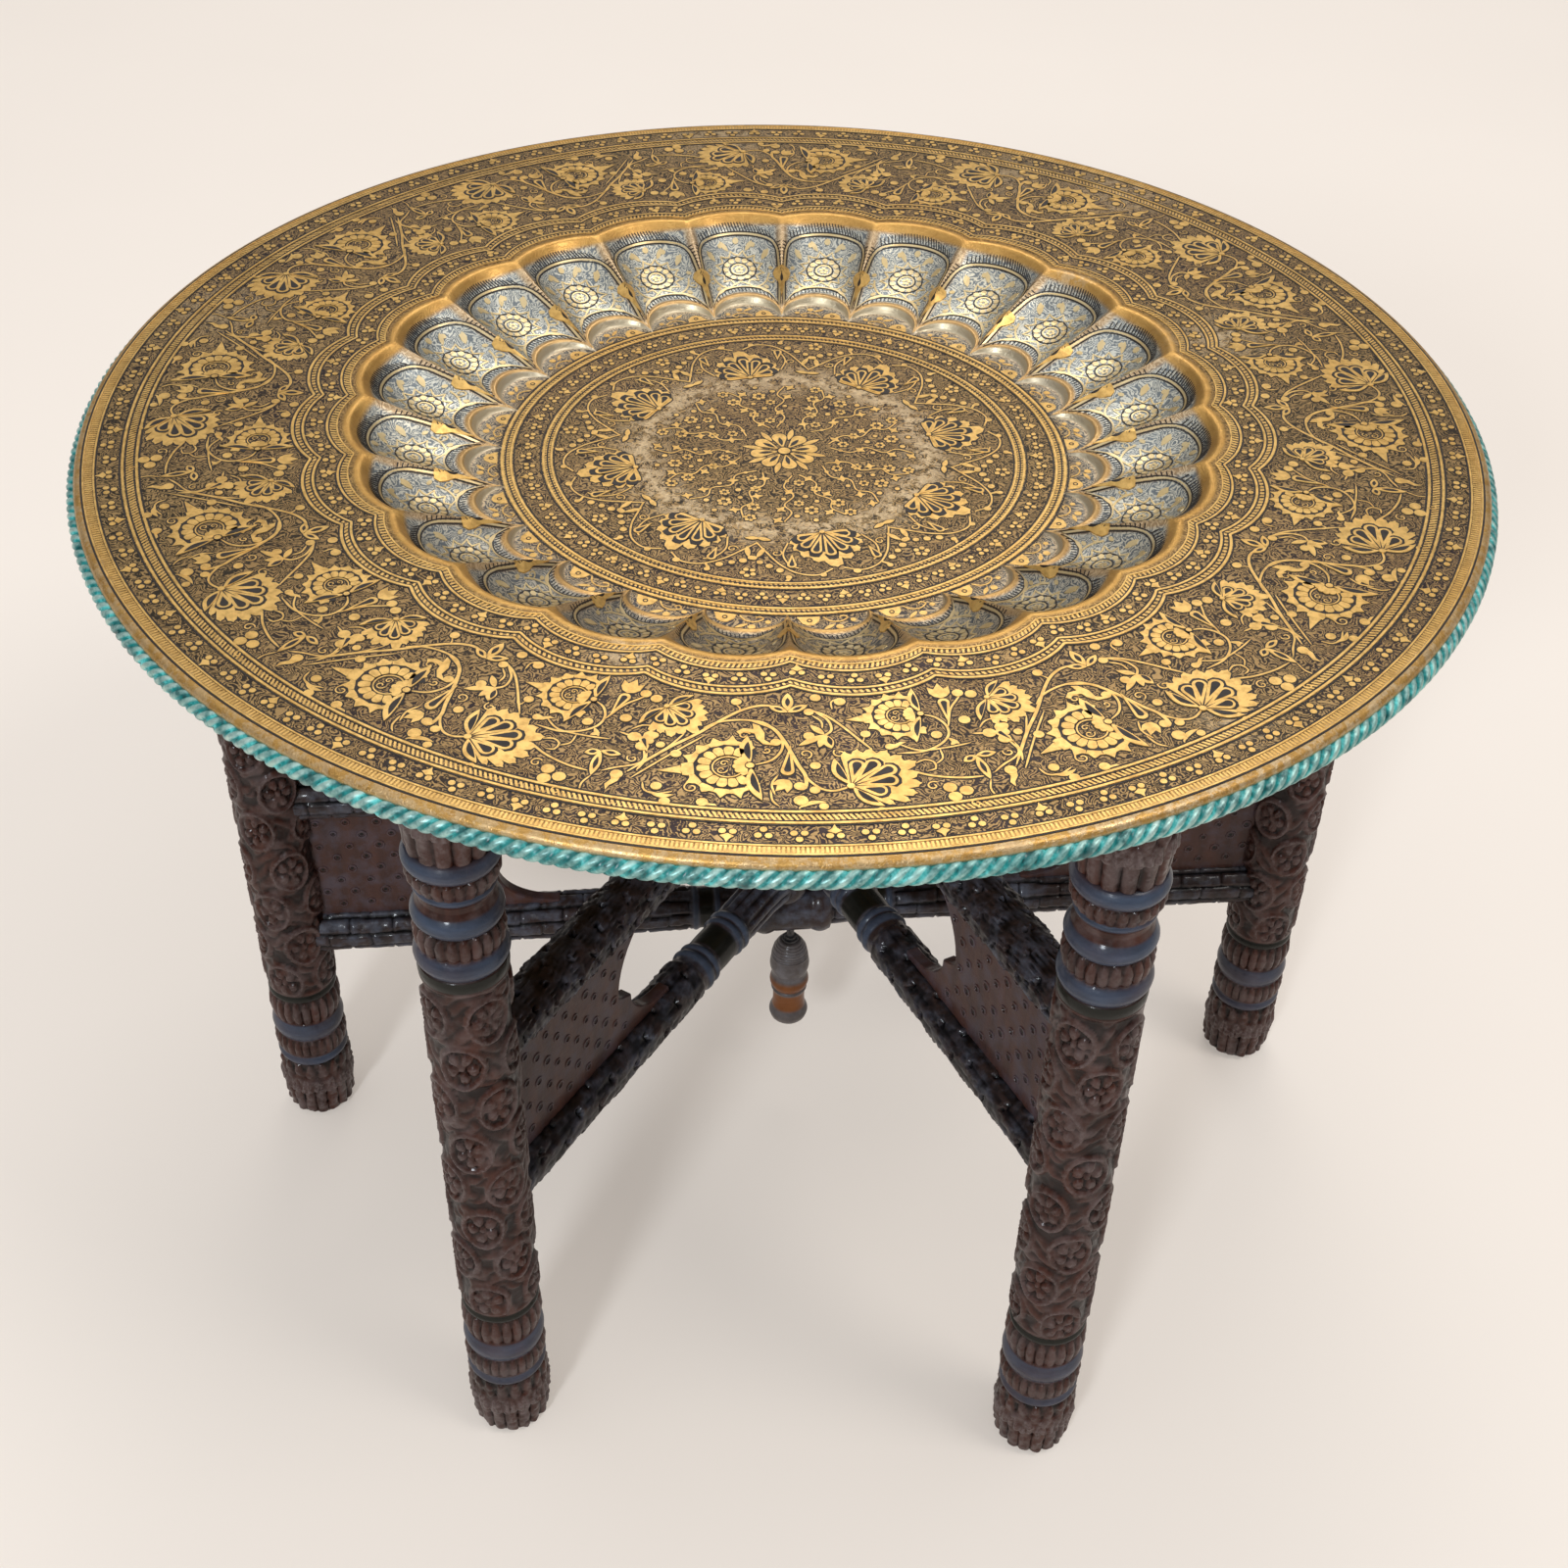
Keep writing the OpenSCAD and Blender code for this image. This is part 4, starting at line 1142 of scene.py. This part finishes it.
def rosettes(s, z, circ, rows, z_top, pitch, seed):
    """Scrolled circles with a six-petalled flower in each, in staggered rows around the leg."""
    h = np.full(s.shape, -0.2)
    per = circ / 4
    for k in range(rows):
        zc = z_top - pitch * k
        off = 0.5 * per * (k % 2)
        for q in range(4):
            j = np.random.default_rng(seed * 97 + k * 4 + q)
            sc = (q * per + off + j.uniform(-1.3, 1.3)) % circ
            zz = zc + j.uniform(-1.8, 1.8)
            ds = (s - sc + circ / 2) % circ - circ / 2
            a, b = ds / 0.80, z - zz
            tilt = j.uniform(-0.25, 0.25)
            a, b = a * math.cos(tilt) - b * math.sin(tilt), a * math.sin(tilt) + b * math.cos(tilt)
            rho, phi = np.hypot(a, b), np.arctan2(b, a)
            near = rho < 18.5
            spiral = 13.2 + 1.5 * ((phi * (1 if (q + k) % 2 else -1) + math.pi) / TAU) + 0.5 * np.sin(phi * 3 + k)
            ring = ridge(rho - spiral, 1.6) * 0.9
            n = 5 if (q + k) % 3 else 6
            turn = j.uniform(0, TAU)
            n0 = 2 * n
            inner = ridge(rho - 11.6 - 0.7 * np.cos(n0 * (phi + turn)), 0.9) * 0.7
            ph = (phi + turn) * n / TAU
            px = (ph % 1.0 - 0.5) * 2
            pr = (rho - 6.9) / 4.6
            petal = np.clip(1 - pr ** 2 - (np.abs(px) * 1.16) ** 2.2, 0, 1) ** 0.5 * 2.2
            petal -= 0.5 * ridge(px, 0.22) * (np.abs(pr) < 0.6)
            knob = np.clip(1 - (rho / 2.7) ** 2, 0, 1) ** 0.5 * 1.9
            dip = -1.2 * smoothstep(13.5, 11.0, rho)
            g = dip + np.maximum.reduce([ring, inner, petal * (rho > 1.5), knob])
            h = np.where(near & (rho < 16.8), np.maximum(g, np.where(rho > 13.2, h, -9)), h)
    # leafy scrolls in the gaps
    lo = N1(s / circ * 16, z / 7.0, 16)
    vein = np.abs(np.sin((z + 5 * np.sin(s * TAU / per)) / 3.1 + 3 * lo))
    gap = h <= -0.19
    h = np.where(gap, -1.0 + 1.0 * vein * smoothstep(0.35, 0.6, lo), h)
    return h


def build_leg(name, angle, top, body, seed):
    cols = 136
    prof = leg_profile(top)
    pr, pz = np.array([p[0] for p in prof]), np.array([p[1] for p in prof])
    pz = np.maximum.accumulate(pz + np.arange(len(pz)) * 1e-6)
    zs = np.unique(np.round(np.concatenate([np.arange(0.0, top, 1.15), pz[(pz > 0) & (pz < top)], [top]]), 3))
    base = np.interp(zs, pz, pr)
    th = np.arange(cols) / cols * TAU
    TH, Zg = np.meshgrid(th, zs)
    B = np.broadcast_to(base[:, None], TH.shape)
    circ = TAU * 22.0
    s = TH / TAU * circ
    rel = np.zeros_like(TH)
    ring = np.zeros_like(TH)
    olive = np.zeros_like(TH)
    rough = N2(TH / TAU * 48, Zg / 3.0, 48) - 0.5
    # foot: long rough leaves standing up from the floor, a row of short tongues above
    rel = rel + np.where(Zg < 50, tongues(s, Zg, 17, circ, 3, 37, 1.9) + tongues(s, Zg, 17, circ, 24, 49, 1.6, phase=0.5) - 1.1, 0)
    rel = rel + np.where(Zg < 50, rough * 1.6, 0)
    rel = rel + tongues(s, Zg, 26, circ, 57.5, 72, 1.5) - np.where((Zg > 57.5) & (Zg < 72), 1.0, 0)
    rel = rel + tongues(s, Zg, 22, circ, 87.5, 107.5, 1.8) - np.where((Zg > 87.5) & (Zg < 107.5), 1.1, 0)
    shaft = (Zg > 116) & (Zg < 370.5)
    ros = rosettes(s, Zg, circ, 8, 350, 31.8, seed)
    fade = smoothstep(115, 119, Zg) * smoothstep(371, 367, Zg)
    rel = rel + np.where(shaft, (1.25 * ros + 0.35 * rough) * fade, 0)
    rel = rel + tongues(s, Zg, 22, circ, 391.5, 406, 1.7) - np.where((Zg > 391.5) & (Zg < 406), 1.1, 0)
    rel = rel + tongues(s, Zg, 24, circ, 430.5, 442, 1.6) - np.where((Zg > 430.5) & (Zg < 442), 1.0, 0)
    up = (Zg > 452.5) & (Zg < top - 6)
    rel = rel + np.where(up, tongues(s, Zg, 14, circ, 453, 482, 2.0) + tongues(s, Zg, 14, circ, 470, top - 6, 2.0, phase=0.5) - 1.2 + rough * 0.8, 0)
    # ring marks the smooth turned bands, which the wood material gives a painted blue-grey sky reflection
    for a, b in ((50, 57), (72.5, 87.2), (379, 391.3), (406.2, 417.8), (442.4, 452.4), (426, 430.5)):
        ring = np.maximum(ring, smoothstep(a - 0.4, a + 0.8, Zg) * smoothstep(b + 0.4, b - 0.8, Zg))
    for a, b in ((108, 114), (371.5, 378.8)):
        olive = np.maximum(olive, smoothstep(a - 0.4, a + 0.6, Zg) * smoothstep(b + 0.4, b - 0.6, Zg))
    ring = ring * (0.55 + 0.45 * N3(TH / TAU * 7, Zg / 9, 7))
    rr = B + rel + 0.25 * (N3(TH / TAU * 9, Zg / 40, 9) - 0.5)
    if body == "cross_frame":
        rr = np.minimum(rr, 24.6)
    # relief drives the painted shade in the cuts and the painted highlight on the high points
    relief = np.clip(0.55 + rel / 3.4, 0, 1)
    relief = np.where((ring > 0.2) | (olive > 0.2), 0.55, relief)
    a = math.radians(angle)
    cx, cy = PIVOT[0] + LEG_CIRCLE * math.cos(a), PIVOT[1] + LEG_CIRCLE * math.sin(a)
    turn = a + math.radians(23 * seed)
    V = np.stack([cx + rr * np.cos(TH + turn), cy + rr * np.sin(TH + turn), Zg], -1).reshape(-1, 3)
    n = len(zs)
    verts = np.concatenate([V, [[cx, cy, 0], [cx, cy, top]]])
    faces = [grid(n, cols), cap(0, cols, n * cols, flip=True), cap((n - 1) * cols, cols, n * cols + 1)]
    pad = [0.5, 0.5]
    make(name + "_carved", verts, faces, CARVED, body, replaces=[name],
         attrs={"relief": np.append(relief.ravel(), pad), "ring": np.append(ring.ravel(), [0, 0]), "olive": np.append(olive.ravel(), [0, 0])}, sharp=70)


for i, (name, ang, body) in enumerate((
        ("leg_left", 185.8, "cross_frame"), ("leg_right", 5.8, "cross_frame"),
        ("leg_front_left", 239.4, "left_diagonal_frame"), ("leg_back_right", 59.4, "left_diagonal_frame"),
        ("leg_front_right", 297.2, "right_diagonal_frame"), ("leg_back_left", 117.2, "right_diagonal_frame"))):
    build_leg(name, ang, 518.75 if body == "cross_frame" else 518.5, body, i + 1)

# ---------------------------------------------------------------- rails


def rail_profile(kind):
    p = [(18.4, 0), (18.4, 11)] + bead(12, 24, 18.2, 1.9)
    if kind == "cross":
        p += [(15.4, 25), (14.6, 34), (14.0, 46)] + bead(47, 51, 14.0, 0.9) + [(13.6, 52), (13.6, 60)] + bead(61, 65, 14.0, 0.9)
        p += [(14.0, 66), (14.6, 90), (15.0, 127), (15.0, LEG_CIRCLE - 8)]
    else:
        p += [(15.2, 25), (13.8, 34), (12.8, 44), (12.8, 73)] + bead(74, 80, 13, 1.5) + bead(81, 86, 13, 1.2)
        p += [(12.7, 87), (12.9, 97), (12.7, 107)] + bead(108, 113, 13.1, 1.3) + bead(114, 121, 13.2, 1.6)
        p += [(13.2, 122), (13.4, 125), (15.0, 128), (15.0, LEG_CIRCLE - 8)]
    return p


def scales(d, s, length, n, circ):
    """Overlapping long scales running along a rail."""
    w = circ / n
    best = np.full(d.shape, -1.0)
    for lane in (0, 1):
        x = ((s / w + 0.5 * lane) % 1.0) * 2 - 1
        y = (d / length + 0.5 * lane) % 1.0
        edge = 1 - np.abs(x) ** 1.8
        lim = 0.97 * edge
        lip = smoothstep(0.16, 0.03, lim - y)
        best = np.maximum(best, np.where(y < lim, 0.15 + 0.45 * y + 0.3 * lip - 0.3 * ridge(x, 0.12) * (1 - lip), -1.0))
    return best


def build_rail(name, angle, z_mid, body, kind, seed):
    cols = 64
    prof = rail_profile(kind)
    pr, pd = np.array([p[0] for p in prof]), np.array([p[1] for p in prof])
    pd = np.maximum.accumulate(pd + np.arange(len(pd)) * 1e-6)
    end = LEG_CIRCLE - 12
    half = np.unique(np.round(np.concatenate([np.arange(0, end, 1.5), pd[pd < end], [end]]), 3))
    d = np.concatenate([-half[::-1][:-1], half])
    ph = np.arange(cols) / cols * TAU
    PH, D = np.meshgrid(ph, d)
    A = np.abs(D)
    base = np.interp(A, pd, pr)
    circ = TAU * 15
    s = PH / TAU * circ
    rough = N2(PH / TAU * 30, (D + 400 + 37 * seed) / 3.2, 30) - 0.5
    wander = 2.5 * (N1(PH / TAU * 6, (D + 400) / 22 + seed, 6) - 0.5)
    if kind == "cross":
        gro = np.abs(((s + wander) / (circ / 9)) % 1.0 - 0.5) * 2
        brick = np.abs((D / 27.0 + np.floor((s + wander) / (circ / 9)) * 0.5) % 1.0 - 0.5) * 2
        pat = 0.9 - 1.9 * ridge(gro - 1, 0.28) - 1.2 * ridge(brick - 1, 0.09) + 0.8 * rough
        zone = smoothstep(22, 28, A) * (1 - smoothstep(45, 47, A) * smoothstep(67, 65, A))
        rel = zone * pat * 0.9 - 0.5 * zone
    else:
        step = 34 if kind == "lower" else 26
        pat = scales(A + wander * 2, s + wander, step, 5 if kind == "lower" else 6, circ) * 1.5 + 0.9 * rough
        if kind == "upper":
            pat = pat + 0.9 * np.abs(np.sin((s + wander) * 1.1 + A / 6)) - 0.4
        carve = smoothstep(125, 130, A)
        rel = carve * (pat - 1.0)
        flute = np.abs((s / (circ / 12)) % 1.0 - 0.5) * 2
        rel = rel + smoothstep(26, 30, A) * smoothstep(73, 68, A) * (0.7 - 1.5 * ridge(flute - 1, 0.4) + 0.4 * rough)
    rr = base + rel
    ring = np.zeros_like(D)
    olive = np.zeros_like(D)
    spans = ((47, 51), (61, 65)) if kind == "cross" else ((74, 80), (81, 86), (108, 113), (114, 121))
    # ring marks the smooth turned beads, which the wood material gives a painted blue-grey sky reflection
    for a, b in spans:
        ring = np.maximum(ring, smoothstep(a - 0.3, a + 0.8, A) * smoothstep(b + 0.3, b - 0.8, A))
    for a, b in (((51.5, 60.5),) if kind == "cross" else ((88, 106),)):
        olive = np.maximum(olive, smoothstep(a - 0.3, a + 0.8, A) * smoothstep(b + 0.3, b - 0.8, A))
    rr = np.where(ring > 0.1, np.minimum(rr, base + 0.3), rr)
    z = rr * np.sin(PH)
    y = rr * np.cos(PH)
    z = np.clip(z, -17.1, 17.1)
    ca, sa = math.cos(math.radians(angle)), math.sin(math.radians(angle))
    V = np.stack([PIVOT[0] + D * ca - y * sa, PIVOT[1] + D * sa + y * ca, z_mid + z], -1).reshape(-1, 3)
    n = len(d)
    ends = [[PIVOT[0] + e * ca, PIVOT[1] + e * sa, z_mid] for e in (d[0], d[-1])]
    verts = np.concatenate([V, ends])
    faces = [grid(n, cols, flip=True), cap(0, cols, n * cols), cap((n - 1) * cols, cols, n * cols + 1, flip=True)]
    # relief drives the painted shade in the cuts and the painted highlight on the high points
    relief = np.clip(0.5 + rel / 2.6, 0, 1)
    relief = np.where((ring > 0.2) | (olive > 0.2), 0.55, relief)
    knuckle = A < 25
    relief = np.where(knuckle, 0.5, relief)
    make(name + "_carved", verts, faces, RAILWOOD, body, replaces=[name],
         attrs={"relief": np.append(relief.ravel(), [0.5, 0.5]), "ring": np.append(ring.ravel() * 0.8, [0, 0]), "olive": np.append(olive.ravel(), [0, 0])}, sharp=60)


FRAMES = (("cross", 5.8, 156, 267, "cross_frame"), ("left_diagonal", 59.4, 193, 304, "left_diagonal_frame"),
          ("right_diagonal", 117.2, 230, 341, "right_diagonal_frame"))
for i, (pre, ang, lo, hi, body) in enumerate(FRAMES):
    build_rail(f"{pre}_lower_rail", ang, lo, body, "cross" if pre == "cross" else "lower", 2 * i)
    build_rail(f"{pre}_upper_rail", ang, hi, body, "cross" if pre == "cross" else "upper", 2 * i + 1)

# ---------------------------------------------------------------- panels


def board_outline():
    lo, hi, out = 10, 101, 302.3
    p = [(out, lo), (out, hi), (150, hi)]
    p += [(150 + 50 * math.sin(math.radians(7.5 * i)), 50 + 49 * math.cos(math.radians(7.5 * i))) for i in range(13)]
    p += [(197, 47.5), (194, 46)]
    p += [(150 + 38 * math.cos(math.radians(90 * i / 12)), 43 - 27 * math.sin(math.radians(90 * i / 12))) for i in range(13)]
    p += [(150, lo)]
    return p


def build_panel(name, angle, z_low, body, seed):
    """angle points from the pivot along this board."""
    pts = board_outline()
    a = np.array(pts)
    tris = np.array([[int(i) for i in t] for t in tessellate_polygon([[Vector((x, y, 0)) for x, y in pts]])])
    n = len(a)
    t = 4.0
    # front and back faces, the edge, and a worn chamfer
    c = a.mean(0)
    nxt, prv = np.roll(a, -1, 0), np.roll(a, 1, 0)
    tang = nxt - prv
    tang /= np.linalg.norm(tang, axis=1, keepdims=True)
    area = 0.5 * np.sum(a[:, 0] * nxt[:, 1] - nxt[:, 0] * a[:, 1])
    inward = np.stack([-tang[:, 1], tang[:, 0]], -1) * np.sign(area)
    inner = a + inward * 0.8
    layers = [(inner, -t), (a, -t + 0.8), (a, t - 0.8), (inner, t)]
    V, rel = [], []
    for p, y in layers:
        V.append(np.stack([p[:, 0], np.full(n, y), p[:, 1]], -1))
        rel.append(np.full(n, 0.6))
    V = np.concatenate(V)
    rel = np.concatenate(rel)
    sgn = 1 if area > 0 else -1
    faces = []
    q = grid(4, n, flip=sgn < 0)
    faces.append(q[:, ::-1] if False else q)
    ft = tris if sgn > 0 else tris[:, ::-1]
    # orientation is settled below from the signed area of the first triangle
    p0, p1, p2 = (a[ft[0][k]] for k in range(3))
    ccw = (p1[0] - p0[0]) * (p2[1] - p0[1]) - (p1[1] - p0[1]) * (p2[0] - p0[0]) > 0
    front = ft if ccw else ft[:, ::-1]
    faces.append(front)
    faces.append(front[:, ::-1] + 3 * n)
    # punched ring marks on both faces
    marks_v, marks_f, marks_r = [], [], []
    rng = np.random.default_rng(seed)
    poly = a
    count = 0
    base = len(V)

    def inside(x, z):
        xs, zs = poly[:, 0], poly[:, 1]
        x2, z2 = np.roll(xs, -1), np.roll(zs, -1)
        hit = (zs > z) != (z2 > z)
        with np.errstate(divide="ignore", invalid="ignore"):
            xi = xs + (z - zs) / (z2 - zs) * (x2 - xs)
        if not (np.sum(hit & (x < xi)) % 2):
            return False
        return min(np.min(np.hypot(xs - x, zs - z)), 99) > 0

    seg = 12
    ang = np.arange(seg) / seg * TAU
    prof = ((3.5, 0.0), (3.0, 0.55), (2.2, 0.55), (1.7, -0.05), (1.0, 0.02), (0.0, 0.02))
    for r, z in enumerate(np.arange(24, 98, 9.5)):
        for x in np.arange(160 + (r % 2) * 9, 299, 18.0):
            px, pz = x + rng.uniform(-0.8, 0.8), z + rng.uniform(-0.8, 0.8)
            if not all(inside(px + ox, pz + oz) for ox, oz in ((5, 0), (-5, 0), (0, 5), (0, -5))):
                continue
            k = rng.uniform(0.75, 1.05)
            for side in (-1, 1):
                b0 = base + sum(len(v) for v in marks_v)
                ring = []
                for rr, hh in prof[:-1]:
                    ring.append(np.stack([px + rr * k * np.cos(ang), np.full(seg, side * (t + hh)), pz + rr * k * np.sin(ang)], -1))
                vv = np.concatenate(ring + [[[px, side * (t + prof[-1][1]), pz]]])
                marks_v.append(vv)
                # relief 0 in the punched centres gives painted shade there, and 0.8 on the raised ring gives a painted
                # highlight
                marks_r.append(np.concatenate([np.full(seg, 0.55), np.full(seg, 0.8), np.full(seg, 0.7), np.full(seg, 0.0), np.full(seg, 0.0), [0.0]]))
                g = grid(5, seg, base=b0, flip=side < 0)
                cp = cap(b0 + 4 * seg, seg, b0 + 5 * seg, flip=side < 0)
                marks_f.append((g, cp))
                count += 1
    V = np.concatenate([V] + marks_v)
    rel = np.concatenate([rel] + marks_r)
    for g, cp in marks_f:
        faces.append(g)
        faces.append(cp)
    quads = np.concatenate([f for f in faces if f.shape[1] == 4])
    tri = np.concatenate([f for f in faces if f.shape[1] == 3])
    ca, sa = math.cos(math.radians(angle)), math.sin(math.radians(angle))
    W = np.stack([PIVOT[0] + V[:, 0] * ca - V[:, 1] * sa, PIVOT[1] + V[:, 0] * sa + V[:, 1] * ca, z_low + V[:, 2]], -1)
    make(name + "_board", W, [quads, tri], PANEL, body, replaces=[name],
         attrs={"relief": rel, "ring": np.zeros(len(rel)), "olive": np.zeros(len(rel))}, sharp=35)


for i, (name, ang, low, body) in enumerate((
        ("cross_left_panel", 185.8, 156, "cross_frame"), ("cross_right_panel", 5.8, 156, "cross_frame"),
        ("left_diagonal_front_panel", 239.4, 193, "left_diagonal_frame"), ("left_diagonal_back_panel", 59.4, 193, "left_diagonal_frame"),
        ("right_diagonal_front_panel", 297.2, 230, "right_diagonal_frame"), ("right_diagonal_back_panel", 117.2, 230, "right_diagonal_frame"))):
    build_panel(name, ang, low, body, i)

# ---------------------------------------------------------------- finial and metalwork


def build_finial():
    o = [(0.01, 0), (3, 0.6), (9, 3), (12.0, 6.4)] + bead(7.2, 14, 12.2, 0.9) + [(11.2, 16), (10.7, 20), (10.6, 24), (10.8, 29), (11.2, 31)]
    o += bead(31.4, 34, 11.3, 0.7) + [(11.6, 35)] + bead(35.6, 43.5, 12.0, 1.1) + [(11.4, 44.8), (11.3, 47.6), (12.1, 49)] + bead(49.6, 60, 12.4, 0.8)
    o += [(12.1, 62.4), (11.0, 68), (8.6, 73), (6.4, 75.4), (0.01, 76)]
    pr, pz = np.array([p[0] for p in o]), np.array([p[1] for p in o])
    keep = [0]
    rr, zz = [pr[0]], [pz[0]]
    for i in range(1, len(pr)):
        m = max(1, int(math.hypot(pr[i] - pr[i - 1], pz[i] - pz[i - 1]) / 0.7))
        for k in range(1, m + 1):
            rr.append(pr[i - 1] + (pr[i] - pr[i - 1]) * k / m)
            zz.append(pz[i - 1] + (pz[i] - pz[i - 1]) * k / m)
    rr, zz = np.array(rr), np.array(zz)
    cols = 96
    th = np.arange(cols) / cols * TAU
    TH, R = np.meshgrid(th, rr)
    Z = np.broadcast_to(zz[:, None], R.shape)
    groove = 0.28 * np.sin(Z * 3.4 + 0.6 * N1(TH / TAU * 8, Z / 5, 8)) * (Z > 60) + 0.12 * (N2(TH / TAU * 20, Z / 2.2, 20) - 0.5)
    waist = smoothstep(15, 18, Z) * smoothstep(44.8, 41, Z) * (1 - smoothstep(30.4, 31.4, Z) * smoothstep(35.2, 34.2, Z))
    rad = np.maximum(R + groove * (R > 2), 0.005)
    V = np.stack([PIVOT[0] + rad * np.cos(TH), PIVOT[1] + rad * np.sin(TH), 47 + Z], -1).reshape(-1, 3)
    n = len(rr)
    # relief from the grooves drives painted shade and painted highlight in the wood material
    make("finial_turned", V, [grid(n, cols)], FINIALWOOD, "cross_frame", replaces=["finial"],
         attrs={"relief": np.clip(0.5 + groove, 0, 1).ravel(), "ring": (0.0 * Z).ravel(), "olive": (0.0 * Z).ravel(), "waist": waist.ravel()}, sharp=60)


build_finial()
for node in ("pivot_rod", "rod_nut", "spacer_washers", "finial_washer"):
    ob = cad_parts[node]
    ob.data.materials.clear()
    ob.data.materials.append(IRON)

# ---------------------------------------------------------------- camera, floor, light


def place_camera():
    p, yaw, roll = 0.69905, 0.0109, 0.02479
    fwd = np.array([math.sin(yaw) * math.cos(p), math.cos(yaw) * math.cos(p), -math.sin(p)])
    right = np.array([math.cos(yaw), -math.sin(yaw), 0])
    up = np.cross(right, fwd)
    r2 = right * math.cos(roll) + up * math.sin(roll)
    u2 = -right * math.sin(roll) + up * math.cos(roll)
    m = Matrix.Identity(4)
    for i in range(3):
        m[i][0], m[i][1], m[i][2] = r2[i], u2[i], -fwd[i]
    m[0][3], m[1][3], m[2][3] = -0.0066, -1.01713, 1.10077
    cam = bpy.data.cameras.new("camera")
    cam.lens, cam.sensor_width = 48.314, 36
    ob = bpy.data.objects.new("camera", cam)
    ob.matrix_world = m
    bpy.context.scene.collection.objects.link(ob)
    bpy.context.scene.camera = ob


def area(name, loc, target, size, power, colour):
    d = bpy.data.lights.new(name, "AREA")
    d.shape, d.size, d.energy, d.color = "DISK", size, power, colour
    o = bpy.data.objects.new(name, d)
    o.location = loc
    o.rotation_euler = (Vector(target) - Vector(loc)).to_track_quat("-Z", "Y").to_euler()
    bpy.context.scene.collection.objects.link(o)


def set_stage():
    n = 64
    th = np.arange(n) / n * TAU
    V = np.concatenate([np.stack([9 * np.cos(th), 9 * np.sin(th), 0 * th - 0.0004], -1), [[0, 0, -0.0004]]])
    me = bpy.data.meshes.new("floor")
    me.from_pydata([tuple(v) for v in V], [], [(i, (i + 1) % n, n) for i in range(n)])
    m = Mat("pale_floor")
    m.set(color=m.mix(m.noise(3, 2, 0.5), srgb(196, 188, 180), srgb(200, 192, 184)), rough=1.0)
    m.b.inputs["Specular IOR Level"].default_value = 0.0
    m.b.inputs["Emission Color"].default_value = (*srgb(233, 223, 213), 1)
    m.b.inputs["Emission Strength"].default_value = 0.40
    me.materials.append(m.m)
    ob = bpy.data.objects.new("floor", me)
    bpy.context.scene.collection.objects.link(ob)
    world = bpy.data.worlds.new("studio")
    bpy.context.scene.world = world
    world.use_nodes = True
    t = world.node_tree
    bg = t.nodes["Background"]
    co = t.nodes.new("ShaderNodeTexCoord")
    sep = t.nodes.new("ShaderNodeSeparateXYZ")
    sky = t.nodes.new("ShaderNodeValToRGB")
    t.links.new(co.outputs["Generated"], sep.inputs[0])
    t.links.new(sep.outputs["Z"], sky.inputs[0])
    e = sky.color_ramp.elements
    while len(e) < 4:
        e.new(0.5)
    for el, (p, v) in zip(e, ((0.0, 0.12), (0.36, 0.15), (0.66, 0.70), (1.0, 1.06))):
        el.position = p
        el.color = (v * 0.97, v * 0.98, v, 1)
    path = t.nodes.new("ShaderNodeLightPath")
    pick = t.nodes.new("ShaderNodeMix")
    pick.data_type = "RGBA"
    t.links.new(path.outputs["Is Camera Ray"], pick.inputs[0])
    t.links.new(sky.outputs[0], pick.inputs[6])
    pick.inputs[7].default_value = (*srgb(232, 224, 215), 1)
    t.links.new(pick.outputs[2], bg.inputs[0])
    bg.inputs[1].default_value = 0.90
    area("key", (2.4, -1.2, 4.2), (0, 0, 0.3), 1.6, 56, (1.0, 0.97, 0.93))
    area("front", (-1.3, -3.4, 2.3), (0, 0, 0.3), 0.6, 80, (0.86, 0.93, 1.0))
    area("back", (0.2, 2.2, 3.4), (0, 0, 0.4), 2.0, 36, (1.0, 0.98, 0.95))


bpy.context.scene.view_settings.view_transform = "Standard"
place_camera()
set_stage()
